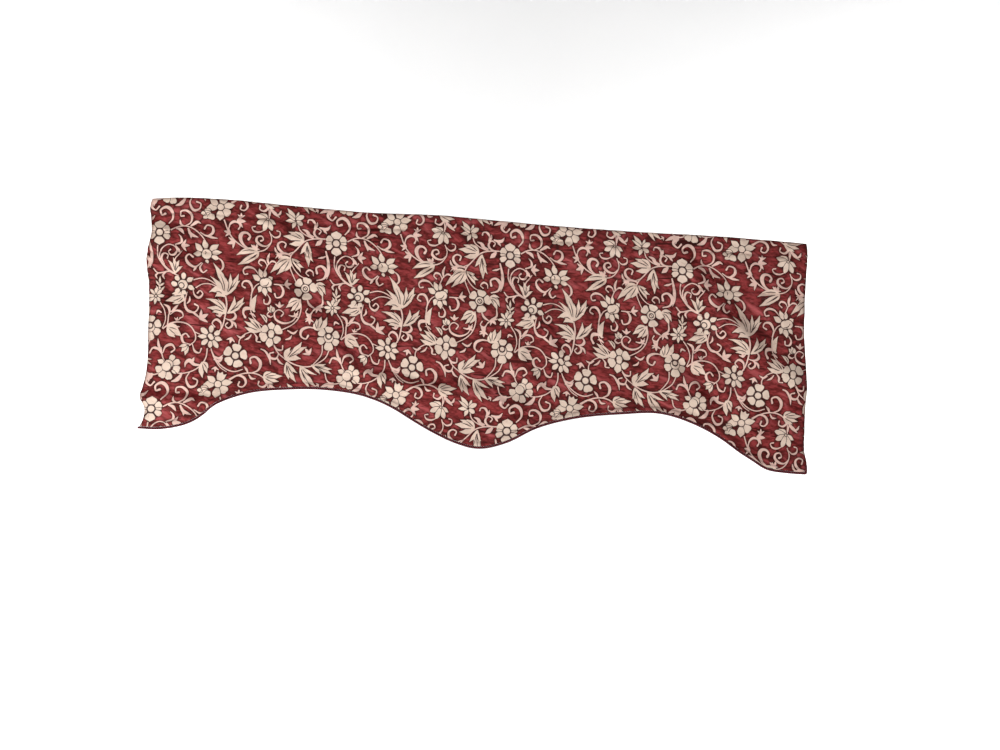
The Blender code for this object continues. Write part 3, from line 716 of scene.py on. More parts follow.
def turned_y(x, drop):
    """The turned part, seen from behind: header, pocket and free edge."""
    front = front_y(x, drop)
    header = HEADER_BACK_SWELL * np.sin(np.pi * np.clip(drop / HEADER_SEAM, 0, 1))
    share = np.clip((drop - HEADER_SEAM) / (POCKET_SEAM - HEADER_SEAM), 0, 1)
    upper = front_y(x, np.full(x.shape, HEADER_SEAM))
    lower = front_y(x, np.full(x.shape, POCKET_SEAM))
    slack = hills(POCKET_SLACK, x, drop)
    full = np.sin(np.pi * share) ** POCKET_BACK_SQUARENESS
    pocket = upper + (lower - upper) * share + (POCKET_BACK_SWELL + slack) * full
    inside = (share > 0) & (share < 1)
    return np.where(inside, np.maximum(pocket, front), front + header) + 2 * SHEET + LAYER_GAP


def top_line(x):
    return height_of(x, np.full(x.shape, TOP_ROUNDING))


def behind_z(x, drop):
    """Where the turned part lies on the flat sheet, above the fold."""
    return top_line(x) + FOLD_LENGTH + drop - TOP_ROUNDING


def side_distance(x, drop):
    """Distance in from the nearest side."""
    return np.minimum(x - side_x(LEFT, drop), side_x(RIGHT, drop) - x)


def edge_distance(x, drop):
    """Distance in from the nearest side or from the hem."""
    slope = (hem_drop(x + SLOPE_STEP) - hem_drop(x - SLOPE_STEP)) / (2 * SLOPE_STEP)
    return np.minimum(side_distance(x, drop), (hem_drop(x) - drop) / np.hypot(1, slope))


def place(flat, depth):
    """Hang the flat sheet: points of its face, or of a level that deep behind the face.

    Above the top line the flat sheet turns over the top edge and comes down behind.
    """
    x, z = flat[:, 0], flat[:, 1]
    top = top_line(x)
    over = z - top
    points = np.stack([x, np.zeros(len(x)), z], 1)
    front = over <= 0
    fold = (over > 0) & (over < FOLD_LENGTH)
    turned = over >= FOLD_LENGTH

    drop = drop_of(x[front], z[front])
    hem = np.clip((SIDE_HEM - edge_distance(x[front], drop)) / HEM_EDGE_EASE, 0, 1)
    hem = hem * np.clip((drop - SIDE_HEM_FROM) / HEM_START_EASE, 0, 1)
    points[front, 1] = front_y(x[front], drop) + depth + (HEM_LAYER * hem if depth else 0)

    start = front_y(x[fold], np.full(fold.sum(), TOP_ROUNDING))
    angle = over[fold] / FOLD_RADIUS
    points[fold, 1] = start + FOLD_RADIUS - (FOLD_RADIUS - depth) * np.cos(angle)
    points[fold, 2] = top[fold] + (FOLD_RADIUS - depth) * np.sin(angle)

    drop = TOP_ROUNDING + over[turned] - FOLD_LENGTH
    points[turned, 1] = turned_y(x[turned], drop) - depth
    points[turned, 2] = height_of(x[turned], drop)
    return points


# where the weave lies on the sheet, which its folds pull off the straight grain: (x, z) at
# every half repeat across, one row for each half repeat down from the upper double blooms
HALF_REPEAT = REPEAT / 2
HALVES_LEFT_OF_ORIGIN = 3
GRAIN = (
    ((-672.0, -25.0), (-500.6, -16.1), (-329.7, -19.4), (-157.4, -21.6), (9.0, -20.0),
     (176.2, -20.6), (341.7, -26.3), (511.3, -28.3), (679.2, -33.3)),
    ((-661.0, -189.0), (-487.0, -186.0), (-317.5, -188.2), (-146.4, -188.2), (21.3, -189.2),
     (188.7, -189.5), (354.7, -194.3), (526.1, -196.1), (693.0, -200.3)),
    ((-661.9, -363.8), (-482.3, -358.8), (-305.8, -356.4), (-137.4, -355.7), (28.5, -359.1),
     (200.2, -359.0), (369.3, -359.0), (533.6, -364.3), (697.6, -365.7)),
    ((-674.0, -537.4), (-489.0, -531.0), (-300.0, -526.6), (-138.4, -528.0), (23.5, -528.0),
     (201.7, -531.5), (383.9, -527.7), (545.0, -545.5), (706.0, -543.6)),
)
REPEATS_ACROSS = range(-2, 3)
REPEATS_DOWN = range(-1, 2)
FIGURE_TOP = TURNED_EDGE + 12.0    # no woven shape that lies wholly past these is laid
FIGURE_LEFT = -642.0
FIGURE_RIGHT = 672.0

# points of the net
HEM_POINTS = 262
TURNED_EDGE_POINTS = 215
FOLD_POINTS = 180
TURNED_SIDE_STEPS = 18
LATTICE_LEFT = -650.0
LATTICE_RIGHT = 680.0
CLEAR_OF_HEM = 2.5
CLEAR_OF_SIDES = 2.2
LATTICE = (10.0, 5.6)              # spacing of the points between the woven shapes
TURNED_LATTICE = (14.0, 9.0)
REVERSE_LATTICE = (11.0, 8.0)
INNER_LATTICE = (18.0, 11.0)       # inside the pocket, where hardly anything shows
EDGE_STEP = 6.0
SEAM_ROWS = (-6.5, -3.2, -1.5, 0.0, 1.5, 3.2, 6.5)
TOP_ROWS = (2.5, 5.5)
EDGE_ROWS = (2.5, 6.0)
EDGE_ROW_STEP = 8.0
EDGE_ROWS_TO = 440.0
HEM_ROWS = (4.6, 7.0, 9.4)
HEM_LINE_REACH = 3.5               # points of the outline this near the scallop belong to the hem
SHARP_CREASE = 3.0                 # creases this high or deep get rows of points of their own
CREASE_STEP = 6.0
CREASE_ROWS = (-9.0, -4.5, 0.0, 4.5, 9.0)
CREASE_BELOW_TOP = 4.0             # these rows keep this far from the top edge
CREASE_FROM_EDGE = 3.0             # and this far from the sides and the hem


def on_sheet(outline):
    """Chart points laid out on the flat sheet, along the grain of the cloth."""
    grain = np.array(GRAIN)
    across = outline[:, 0] / HALF_REPEAT + HALVES_LEFT_OF_ORIGIN
    down = outline[:, 1] / HALF_REPEAT
    column = np.clip(np.floor(across).astype(int), 0, grain.shape[1] - 2)
    row = np.clip(np.floor(down).astype(int), 0, grain.shape[0] - 2)
    across, down = (across - column)[:, None], (down - row)[:, None]
    upper = grain[row, column] * (1 - across) + grain[row, column + 1] * across
    lower = grain[row + 1, column] * (1 - across) + grain[row + 1, column + 1] * across
    return upper * (1 - down) + lower * down


def side_line(side, drops):
    """Points up one side: the front, then over the fold, then down the turned part behind."""
    x = side_x(side, drops)
    front = np.stack([x, height_of(x, drops)], 1)
    corner = side_x(side, np.full(1, TOP_ROUNDING))
    fold = []
    for k in range(1, FOLD_ROWS):
        fold.append((corner[0], top_line(corner)[0] + FOLD_LENGTH * k / FOLD_ROWS))
    step = (TURNED_EDGE - TOP_ROUNDING) / TURNED_SIDE_STEPS
    behind = np.arange(TOP_ROUNDING, TURNED_EDGE + step / 2, step)
    x = side_x(side, behind)
    return np.vstack([front, fold, np.stack([x, behind_z(x, behind)], 1)])


def hem_run(count):
    """Even places along the hem from side to side: x and drop."""
    share = np.linspace(0, 1, count)
    left, right = SIDE_STATIONS[-1][1:]
    drop = hem_drop(left + share * (right - left))
    inner_left = side_x(LEFT, drop)
    return inner_left + share * (side_x(RIGHT, drop) - inner_left), drop


def sheet_outline():
    """The flat sheet's edge, counter-clockwise from the lower left corner."""
    x, drop = hem_run(HEM_POINTS)
    hem = np.stack([x, -drop], 1)
    sides = []
    for side, foot in ((LEFT, drop[0]), (RIGHT, drop[-1])):
        count = int((foot - TOP_ROUNDING) / EDGE_STEP)
        sides.append(side_line(side, np.linspace(foot, TOP_ROUNDING, count)[1:]))
    inner = np.linspace(sides[1][-1, 0], sides[0][-1, 0], TURNED_EDGE_POINTS)[1:-1]
    turned_edge = np.stack([inner, behind_z(inner, TURNED_EDGE)], 1)
    return np.vstack([hem, sides[1], turned_edge, sides[0][::-1]])


def lattice_points(spacing, drops, turned):
    """Staggered rows of points over the front, or over the turned part."""
    rows = []
    for k, drop in enumerate(drops):
        x = np.arange(LATTICE_LEFT + spacing * (k % 2) / 2, LATTICE_RIGHT, spacing)
        here = np.full(x.shape, drop)
        keep = x > side_x(LEFT, here) + CLEAR_OF_SIDES
        keep &= x < side_x(RIGHT, here) - CLEAR_OF_SIDES
        if not turned:
            keep &= drop < hem_drop(x) - CLEAR_OF_HEM
        z = behind_z(x, drop) if turned else height_of(x, here)
        rows.append(np.stack([x[keep], z[keep]], 1))
    return np.vstack(rows)


def plain_drops(first, last, step):
    """Levels at an even step, leaving out those beside a seam, and the levels of the seams."""
    drops = []
    for drop in np.arange(first, last, step):
        if min(abs(drop - HEADER_SEAM), abs(drop - POCKET_SEAM)) > SEAM_ROWS[-1] + step / 2:
            drops.append(drop)
    for seam in (HEADER_SEAM, POCKET_SEAM):
        drops += [seam + aside for aside in SEAM_ROWS]
    return drops


def rows_along_hem(steps, every):
    """Rows of points that follow the scallop, these steps in from it, but for its ends."""
    inwards = left_of(np.gradient(hem_line, axis=0))
    rows = np.vstack([(hem_line + inwards * step)[3:-3:every] for step in steps])
    return rows[edge_distance(rows[:, 0], drop_of(rows[:, 0], rows[:, 1])) > steps[0] / 2]


def rows_along_creases():
    """Rows of points along both sides of the sharp creases."""
    rows = []
    for _name, height, _half_width, path in CREASES:
        if abs(height) < SHARP_CREASE:
            continue
        for start, end in zip(np.array(path, float), np.array(path, float)[1:]):
            run = end - start
            length = np.hypot(*run)
            along = start + run * np.arange(0, 1, CREASE_STEP / length)[:, None]
            side = np.array([-run[1], run[0]]) / length
            rows += [along + side * aside for aside in CREASE_ROWS]
    rows = np.vstack(rows)
    drop = drop_of(rows[:, 0], rows[:, 1])
    clear = edge_distance(rows[:, 0], drop) > CREASE_FROM_EDGE
    return rows[(drop > CREASE_BELOW_TOP) & clear]


def close_rows(turned):
    """Rows that follow the sides closely."""
    rows = []
    last = TURNED_EDGE - 3 if turned else EDGE_ROWS_TO
    drops = np.arange(TOP_ROUNDING + 3, last, EDGE_ROW_STEP)
    for side, inward in INWARDS:
        for step in EDGE_ROWS:
            x = side_x(side, drops) + inward * step
            z = behind_z(x, drops) if turned else height_of(x, drops)
            rows.append(np.stack([x, z], 1))
    return np.vstack(rows)


def fold_lines():
    """Straight rows of points along the fold at the top, and the edges between them."""
    points, edges = [], []
    start = np.full(1, TOP_ROUNDING)
    x = np.linspace(side_x(LEFT, start)[0], side_x(RIGHT, start)[0], FOLD_POINTS)
    for k in range(FOLD_ROWS + 1):
        first = len(points)
        points += np.stack([x, top_line(x) + FOLD_LENGTH * k / FOLD_ROWS], 1).tolist()
        edges += [(first + i, first + i + 1) for i in range(len(x) - 1)]
    return np.array(points), edges


def counter_clockwise(ring):
    x, z = ring.T
    turn = np.dot(x, np.roll(z, -1)) - np.dot(z, np.roll(x, -1))
    return ring if turn > 0 else ring[::-1]


def triangulate(points, edges, polygons):
    """Triangles between the points that keep every polygon's edges.

    Returns the points, the triangles inside the first polygon, and for each triangle the
    number of the last polygon that covers it.
    """
    corners = [Vector(point) for point in points.tolist()]
    faces = [list(map(int, polygon)) for polygon in polygons]
    spots, _edges, found, _v, _e, covered = delaunay_2d_cdt(corners, edges, faces, 1, 1e-4, True)
    keep = [(face, max(over)) for face, over in zip(found, covered) if 0 in over]
    triangles = np.array([face for face, _top in keep])
    top = np.array([top for _face, top in keep])
    used, numbers = np.unique(triangles, return_inverse=True)
    spots = np.array([tuple(spot) for spot in spots])[used]
    return spots, numbers.reshape(triangles.shape), top


def gather_shapes():
    """Woven shapes of every repeat that reaches the sheet, motif by motif, the lowest first."""
    repeat = draw_repeat()
    shapes = []
    for motif in ("scrolls", "leaves", "flowers"):
        for across in REPEATS_ACROSS:
            for down in REPEATS_DOWN:
                for kind, yarn, outline in repeat:
                    if kind != motif:
                        continue
                    laid = on_sheet(outline + np.array([across, down]) * REPEAT)
                    laid = counter_clockwise(laid)
                    x, z = laid.T
                    past_side = (x < FIGURE_LEFT) | (x > FIGURE_RIGHT)
                    past = past_side | (z < -hem_drop(x)) | (z > FIGURE_TOP)
                    if not past.all():
                        shapes.append((motif, yarn, laid))
    return shapes


outline = counter_clockwise(sheet_outline())
hem_line = outline[np.abs(outline[:, 1] + hem_drop(outline[:, 0])) < HEM_LINE_REACH]
hem_line = hem_line[np.argsort(hem_line[:, 0])]
shapes = gather_shapes()
fold_points, fold_edges = fold_lines()
parts = [outline]
polygons = [np.arange(len(outline))]
count = len(outline)
for _motif, _yarn, laid in shapes:
    polygons.append(np.arange(count, count + len(laid)))
    parts.append(laid)
    count += len(laid)
fold_edges = [(count + a, count + b) for a, b in fold_edges]
parts += [
    fold_points,
    lattice_points(LATTICE[0], [TOP_ROUNDING + row for row in TOP_ROWS], False),
    lattice_points(LATTICE[0], plain_drops(12, 446, LATTICE[1]), False),
    lattice_points(TURNED_LATTICE[0], plain_drops(6, TURNED_EDGE - 3, TURNED_LATTICE[1]), True),
    rows_along_hem(HEM_ROWS, 1),
    rows_along_creases(),
    close_rows(False),
    close_rows(True),
]
flat, triangles, cover = triangulate(np.vstack(parts), fold_edges, polygons)
print("face of the cloth:", len(flat), "points,", len(triangles), "triangles,", len(shapes), "shapes")

REVERSE_ROWS = (1.6, 8.0, 10.4, 11.8, 13.6)     # rows beside the turned hems behind
REVERSE_ROW_STEP = 8.0
REVERSE_FROM_EDGE = 0.8
LEAST_SHEET = 0.7                               # the net behind keeps this far behind the face
SELVEDGE_BULGE = 0.45
SHADE_REACH = 5.0                               # the ground darkens this near a woven shape

# painted shade in the seams' grooves, at the top where the cloth turns back, along the sides and along
# the hem: (how much, half width) at each seam and edge
HEADER_PAINTED_SHADE = (0.55, 1.6)
POCKET_PAINTED_SHADE = (0.35, 1.8)
TOP_PAINTED_SHADE = (0.95, 3.4)
SIDE_PAINTED_SHADE = (0.95, 3.4)
HEM_PAINTED_SHADE = (0.70, 1.8)
HEM_SHADE_LINE_UP = 7.0         # the hem's own sewn line runs this far above the cord
PAINTED_SHADE_MEAN = 0.8
PAINTED_SHADE_HILLS = (0.35, 14, 40, 44)   # height, length along x and z, random seed
FAR = 99.0


def painted_edge_shade(flat):
    """How much painted shade lies at points of the flat sheet, 0 to 1: in the seams, where the top turns
    back, along the sides and along the hem's sewn line.
    """
    x = flat[:, 0]
    drop = drop_of(x, flat[:, 1])
    edge = edge_distance(x, drop)
    side = side_distance(x, drop)
    broken = PAINTED_SHADE_MEAN + hills(PAINTED_SHADE_HILLS, x, drop)
    value = np.zeros(len(x))
    for (much, half_width), away in (
        (HEADER_PAINTED_SHADE, drop - HEADER_SEAM), (POCKET_PAINTED_SHADE, drop - POCKET_SEAM),
        (TOP_PAINTED_SHADE, np.maximum(drop, 0)), (SIDE_PAINTED_SHADE, side),
        (HEM_PAINTED_SHADE, np.where(edge < side - 1, edge - HEM_SHADE_LINE_UP, FAR)),
    ):
        value = np.maximum(value, much * broken * np.exp(-(away / half_width) ** 2))
    return np.clip(np.where(flat[:, 1] > top_line(x) + FOLD_LENGTH, 0, value), 0, 1)


def boundary_edges(faces):
    """Edges with a triangle on one side only, each running round its patch."""
    edges = np.vstack([faces[:, [0, 1]], faces[:, [1, 2]], faces[:, [2, 0]]])
    count = edges.max() + 1
    key = edges[:, 0] * count + edges[:, 1]
    back = edges[:, 1] * count + edges[:, 0]
    return edges[~np.isin(key, back)]


def ring_of(edges):
    """The edges of one closed line as a ring of points."""
    following = dict(edges.tolist())
    ring = [int(edges[0, 0])]
    while following[ring[-1]] != ring[0]:
        ring.append(following[ring[-1]])
    return np.array(ring)


def unit(vectors):
    return vectors / np.linalg.norm(vectors, axis=1, keepdims=True)


def finder_of(numbers, spots):
    """A tree that finds the nearest of some numbered flat points."""
    finder = kdtree.KDTree(len(numbers))
    for number in numbers:
        finder.insert((*spots[number], 0), int(number))
    finder.balance()
    return finder


def point_normals(points, faces):
    a, b, c = points[faces[:, 0]], points[faces[:, 1]], points[faces[:, 2]]
    area = np.cross(b - a, c - a)
    normals = np.zeros(points.shape)
    for corner in range(3):
        np.add.at(normals, faces[:, corner], area)
    return normals / np.maximum(np.linalg.norm(normals, axis=1, keepdims=True), 1e-9)


def make_piece(name, points, faces, finish, sharp=40):
    """A mesh piece from points in mm, with its materials; edges over sharp degrees stay crisp."""
    mesh = bpy.data.meshes.new(name)
    mesh.from_pydata((np.asarray(points) * MM).tolist(), [], [list(map(int, face)) for face in faces])
    mesh.shade_smooth()
    mesh.set_sharp_from_angle(angle=math.radians(sharp))
    piece = bpy.data.objects.new(name, mesh)
    bpy.context.scene.collection.objects.link(piece)
    for material in finish:
        mesh.materials.append(material)
    return piece


def store(piece, name, values):
    """Give each point of a piece a value that its material reads."""
    piece.data.attributes.new(name, "FLOAT", "POINT").data.foreach_set("value", values)


class Finish:
    """A cloth or thread material, built up node by node."""

    def __init__(self, name, roughness, sheen=0.0, gloss=0.5):
        self.material = bpy.data.materials.new(name)
        self.material.use_nodes = True
        self.nodes = self.material.node_tree.nodes
        self.links = self.material.node_tree.links
        self.shader = self.nodes["Principled BSDF"]
        self.shader.inputs["Roughness"].default_value = roughness
        self.shader.inputs["Sheen Weight"].default_value = sheen
        self.shader.inputs["Sheen Roughness"].default_value = 0.4
        self.shader.inputs["Specular IOR Level"].default_value = gloss
        self.where = self.nodes.new("ShaderNodeTexCoord").outputs["Object"]

    def stretched(self, scale, lean):
        mapping = self.nodes.new("ShaderNodeMapping")
        mapping.vector_type = "TEXTURE"
        mapping.inputs["Rotation"].default_value = (0, math.radians(lean), 0)
        mapping.inputs["Scale"].default_value = [1 / count for count in scale]
        self.links.new(self.where, mapping.inputs["Vector"])
        return mapping.outputs["Vector"]

    def noise(self, scale, detail=2.0, swirl=0.0, lean=0.0):
        """Cloudy values, scale being how many come to a metre along each axis.

        Lean turns them about Y, in degrees.
        """
        node = self.nodes.new("ShaderNodeTexNoise")
        node.inputs["Scale"].default_value = 1.0
        node.inputs["Detail"].default_value = detail
        node.inputs["Distortion"].default_value = swirl
        self.links.new(self.stretched(scale, lean), node.inputs["Vector"])
        return node.outputs["Fac"]

    def ribs(self, axis, pitch):
        """Even threads across an axis, pitch metres apart."""
        node = self.nodes.new("ShaderNodeTexWave")
        node.bands_direction = axis
        node.inputs["Scale"].default_value = math.pi / 10 / pitch
        node.inputs["Distortion"].default_value = 0.6
        node.inputs["Detail"].default_value = 0.0
        self.links.new(self.where, node.inputs["Vector"])
        return node.outputs["Fac"]

    def attribute(self, name):
        node = self.nodes.new("ShaderNodeAttribute")
        node.attribute_name = name
        return node.outputs["Fac"]

    def clamp_between(self, value, low, high):
        """The value spread from 0 at low to 1 at high."""
        node = self.nodes.new("ShaderNodeMapRange")
        node.inputs["From Min"].default_value = low
        node.inputs["From Max"].default_value = high
        self.links.new(value, node.inputs["Value"])
        return node.outputs["Result"]

    def blend(self, share, first, second):
        """A colour between two, each a colour or another node's output."""
        node = self.nodes.new("ShaderNodeMix")
        node.data_type = "RGBA"
        self.links.new(share, node.inputs[0])
        for socket, colour in ((node.inputs[6], first), (node.inputs[7], second)):
            if isinstance(colour, tuple):
                socket.default_value = (*colour, 1)
            else:
                self.links.new(colour, socket)
        return node.outputs[2]

    def bump(self, height, depth, strength):
        """Raise the surface by a value, depth metres at most; later bumps add to earlier ones."""
        node = self.nodes.new("ShaderNodeBump")
        node.inputs["Strength"].default_value = strength
        node.inputs["Distance"].default_value = depth
        self.links.new(height, node.inputs["Height"])
        normal = self.shader.inputs["Normal"]
        if normal.links:
            self.links.new(normal.links[0].from_socket, node.inputs["Normal"])
        self.links.new(node.outputs["Normal"], normal)

    def colour(self, value):
        self.links.new(value, self.shader.inputs["Base Color"])


CRIMSON = (0.325, 0.043, 0.044)
# the next three: painted shade for the hollows of the rucks, painted sheen for the crests of the
# crumples, and a deep crimson that is painted shade in the ground but the real colour of the dark yarn
# and the thread
PAINTED_SHADE_CRIMSON = (0.105, 0.009, 0.008)
PAINTED_SHEEN_CRIMSON = (0.480, 0.098, 0.102)
DEEP_CRIMSON = (0.062, 0.005, 0.004)
REVERSE_ROSE = (0.220, 0.062, 0.058)
REVERSE_BUFF = (0.360, 0.180, 0.140)
SEAM_SHADE = (0.030, 0.004, 0.004)              # painted shade in the seams and along the edges
BESIDE_FIGURE = (0.032, 0.006, 0.004)
THREAD_PITCH = 0.0008
CRUMPLE_SCALE = (17, 17, 58)
CRUMPLE_LEAN = 24.0        # crumples run down to the right, degrees
RUCK_SCALE = (78, 78, 185)
STREAK_SCALE = (13, 13, 120)
FLECK_SCALE = (300, 300, 1500)
REVERSE_RUCK_SCALE = (70, 70, 260)

crimson_face = Finish("crimson_satin_ground", 0.45, sheen=0.0, gloss=0.1)
crumples = crimson_face.noise(CRUMPLE_SCALE, 3, 0.7, CRUMPLE_LEAN)
rucks = crimson_face.noise(RUCK_SCALE, 3, 0.6)
streaks = crimson_face.noise(STREAK_SCALE, 1, 0.9)
# painted shade: the ground turns darker where the rucks, which the bump below raises, lie low
ground = crimson_face.blend(crimson_face.clamp_between(rucks, 0.34, 0.66), PAINTED_SHADE_CRIMSON, CRIMSON)
# painted shade in the hollows of the crumples and painted sheen on their crests; the same noise bumps
# them below
painted_crumple_shade = crimson_face.clamp_between(crumples, 0.46, 0.30)
ground = crimson_face.blend(painted_crumple_shade, ground, DEEP_CRIMSON)
painted_crumple_sheen = crimson_face.clamp_between(crumples, 0.54, 0.74)
ground = crimson_face.blend(painted_crumple_sheen, ground, PAINTED_SHEEN_CRIMSON)
# painted shade: thin dark streaks that stand for the shade inside fine creases
painted_crease_streaks = crimson_face.clamp_between(streaks, 0.36, 0.30)
ground = crimson_face.blend(painted_crease_streaks, ground, DEEP_CRIMSON)
shade = crimson_face.clamp_between(crimson_face.attribute("beside_shape"), 0.45, 1.1)
ground = crimson_face.blend(shade, ground, BESIDE_FIGURE)
# painted shade in the seams, at the top and along the sides and the hem
crimson_face.colour(crimson_face.blend(crimson_face.attribute("painted_edge_shade"), ground, SEAM_SHADE))
crimson_face.bump(crumples, 0.0035, 0.8)
crimson_face.bump(rucks, 0.0026, 0.9)
crimson_face.bump(crimson_face.ribs("Z", THREAD_PITCH), 0.00012, 0.5)

crimson_reverse = Finish("reverse_of_the_weave", 0.75, sheen=0.1)
flecks = crimson_reverse.clamp_between(crimson_reverse.noise(FLECK_SCALE, 2), 0.52, 0.64)
crimson_reverse.colour(crimson_reverse.blend(flecks, REVERSE_ROSE, REVERSE_BUFF))
crimson_reverse.bump(crimson_reverse.noise(REVERSE_RUCK_SCALE, 3), 0.0010, 0.6)
crimson_reverse.bump(crimson_reverse.ribs("Z", THREAD_PITCH * 1.5), 0.0002, 0.6)

face_points = place(flat, 0.0)
ring = ring_of(boundary_edges(triangles))


def rows_beside_turned_hems():
    """Points that follow the hems behind, which are turned up there and sewn."""
    rows = [rows_along_hem(REVERSE_ROWS, 2)]
    drops = np.arange(SIDE_HEM_FROM, SIDE_HEM_TO, REVERSE_ROW_STEP)
    for side, inward in INWARDS:
        for step in REVERSE_ROWS:
            x = side_x(side, drops) + inward * step
            rows.append(np.stack([x, height_of(x, drops)], 1))
    rows = np.vstack(rows)
    drop = drop_of(rows[:, 0], rows[:, 1])
    return rows[edge_distance(rows[:, 0], drop) > REVERSE_FROM_EDGE]


inner_parts = [
    flat[ring],
    fold_points[1:-1],
    rows_beside_turned_hems(),
    rows_along_creases(),
    lattice_points(REVERSE_LATTICE[0], plain_drops(10, 430, REVERSE_LATTICE[1]), False),
    lattice_points(INNER_LATTICE[0], plain_drops(8, TURNED_EDGE - 4, INNER_LATTICE[1]), True),
]
back_flat, back_triangles, _cover = triangulate(np.vstack(inner_parts), [], [np.arange(len(ring))])
back_points = place(back_flat, SHEET)


def depth_on(net_flat, net_faces, net_points, spots):
    """Depth of a net at flat spots: the numbers of the spots on it, the corners there, the depths."""
    net = BVHTree.FromPolygons([(x, z, 0.0) for x, z in net_flat.tolist()], net_faces.tolist())
    numbers, hits = [], []
    for number in np.flatnonzero(spots[:, 1] < top_line(spots[:, 0])):
        hit = net.ray_cast((spots[number, 0], spots[number, 1], 1.0), (0.0, 0.0, -1.0))[2]
        if hit is not None:
            numbers.append(number)
            hits.append(hit)
    corners = net_faces[hits]
    a, b, c = net_flat[corners[:, 0]], net_flat[corners[:, 1]], net_flat[corners[:, 2]]
    (bx, bz), (cx, cz), (px, pz) = (b - a).T, (c - a).T, (spots[numbers] - a).T
    area = bx * cz - cx * bz
    to_b = (px * cz - cx * pz) / area
    to_c = (bx * pz - px * bz) / area
    y = net_points[corners, 1]
    return numbers, corners, y[:, 0] * (1 - to_b - to_c) + y[:, 1] * to_b + y[:, 2] * to_c


def ease_behind_creases():
    """Push the net behind back wherever a sharp crease of the face would come through it."""
    ease = np.zeros(len(back_points))
    numbers, corners, behind = depth_on(back_flat, back_triangles, back_points, flat)
    short = np.maximum(face_points[numbers, 1] + LEAST_SHEET - behind, 0)
    for corner in range(3):
        np.maximum.at(ease, corners[:, corner], short)
    numbers, _corners, front = depth_on(flat, triangles, face_points, back_flat)
    short = np.maximum(front + LEAST_SHEET - back_points[numbers, 1], 0)
    np.maximum.at(ease, numbers, short)
    back_points[:, 1] += ease
    most = round(float(ease.max()), 2)
    print("net behind eased at", int((ease > 0).sum()), "points, by", most, "mm at most")


ease_behind_creases()
finder = finder_of(range(len(back_flat)), back_flat)
back_ring = np.array([finder.find((*flat[i], 0))[1] for i in ring])

normals = point_normals(face_points, triangles)
tangent = np.roll(face_points[ring], -1, axis=0) - np.roll(face_points[ring], 1, axis=0)
outwards = unit(np.cross(tangent, normals[ring]))
rim_points = (face_points[ring] + back_points[back_ring]) / 2 + outwards * SELVEDGE_BULGE

first_back = len(face_points)
first_rim = first_back + len(back_points)
cloth_faces = triangles.tolist() + (back_triangles[:, ::-1] + first_back).tolist()
for here in range(len(ring)):
    after = (here + 1) % len(ring)
    a, b = ring[here], ring[after]
    c, d = first_rim + here, first_rim + after
    e, f = first_back + back_ring[here], first_back + back_ring[after]
    cloth_faces += [(a, c, d, b), (c, e, f, d)]

cloth = make_piece("valance_cloth_sheet", np.vstack([face_points, back_points, rim_points]),
                   cloth_faces, (crimson_face.material, crimson_reverse.material))
which = np.zeros(len(cloth_faces), np.int32)
which[len(triangles):len(triangles) + len(back_triangles)] = 1
cloth.data.polygons.foreach_set("material_index", which)

finder = finder_of(np.unique(triangles[cover > 0]), flat)
nearness = np.zeros(first_rim + len(rim_points))
for number, spot in enumerate(flat):
    gap = finder.find((spot[0], spot[1], 0))[2]
    nearness[number] = max(0.0, 1 - gap / SHADE_REACH)
store(cloth, "beside_shape", nearness)
# painted shade at the seams and edges, stored for the ground and for the floats
face_painted_shade = painted_edge_shade(flat)
values = np.zeros(len(nearness))
values[:first_back] = face_painted_shade
store(cloth, "painted_edge_shade", values)

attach(cloth, "root")
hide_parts("valance_cloth")


# ------------------------------------------------------------------------------------------
# The woven shapes. Cream weft floats over the ground and stands a little proud of it: the
# flowers, the leaves, and the stems and scrolls. Dark yarn parts the petals and veins the
# leaves. Each patch lies on the cloth's own surface, raised along it.

CREAM_RAISE = 0.32
DARK_RAISE = 0.14
ROOT = 0.2                 # how far the floats are bound into the ground
FLOWER_CREAM = (0.800, 0.625, 0.510)
LEAF_CREAM = (0.790, 0.600, 0.490)
SCROLL_ROSE = (0.800, 0.530, 0.455)
FLOAT_SHADE = (0.600, 0.400, 0.320)
# painted shade on the floats where a seam or an edge crosses them
FLOAT_PAINTED_SHADE = (0.100, 0.030, 0.026)
DARK_YARN = (0.030, 0.014, 0.010)
FLOAT_PITCH = 0.0011


def yarn_finish(name, lit, shaded):
    finish = Finish(name, 0.55, sheen=0.2, gloss=0.35)
    grain = finish.clamp_between(finish.noise((260, 260, 900), 2), 0.30, 0.62)
    patches = finish.clamp_between(finish.noise((45, 45, 90), 2), 0.28, 0.60)
    yarn = finish.blend(patches, finish.blend(grain, shaded, lit), lit)
    # painted shade on the floats at the seams and edges, as on the ground
    finish.colour(finish.blend(finish.attribute("painted_edge_shade"), yarn, FLOAT_PAINTED_SHADE))
    finish.bump(finish.noise(CRUMPLE_SCALE, 3, 0.7, CRUMPLE_LEAN), 0.003, 0.5)
    finish.bump(finish.ribs("X", FLOAT_PITCH), 0.00015, 0.6)
    return finish


def woven_patch(name, faces, raise_by, finish):
    """Raised patches of one yarn over some of the cloth's triangles, closed all round."""
    used, numbers = np.unique(faces, return_inverse=True)
    numbers = numbers.reshape(faces.shape)
    upper = face_points[used] + normals[used] * raise_by
    lower = face_points[used] - normals[used] * ROOT
    count = len(used)
    a, b = boundary_edges(numbers).T
    walls = np.stack([a, a + count, b + count, b], 1)
    all_faces = numbers.tolist() + (numbers[:, ::-1] + count).tolist() + walls.tolist()
    patch = make_piece(name, np.vstack([upper, lower]), all_faces, (finish.material,))
    # the floats take the painted seam and edge shade of the cloth below
    store(patch, "painted_edge_shade", np.tile(face_painted_shade[used], 2))
    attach(patch, "root")
    return patch


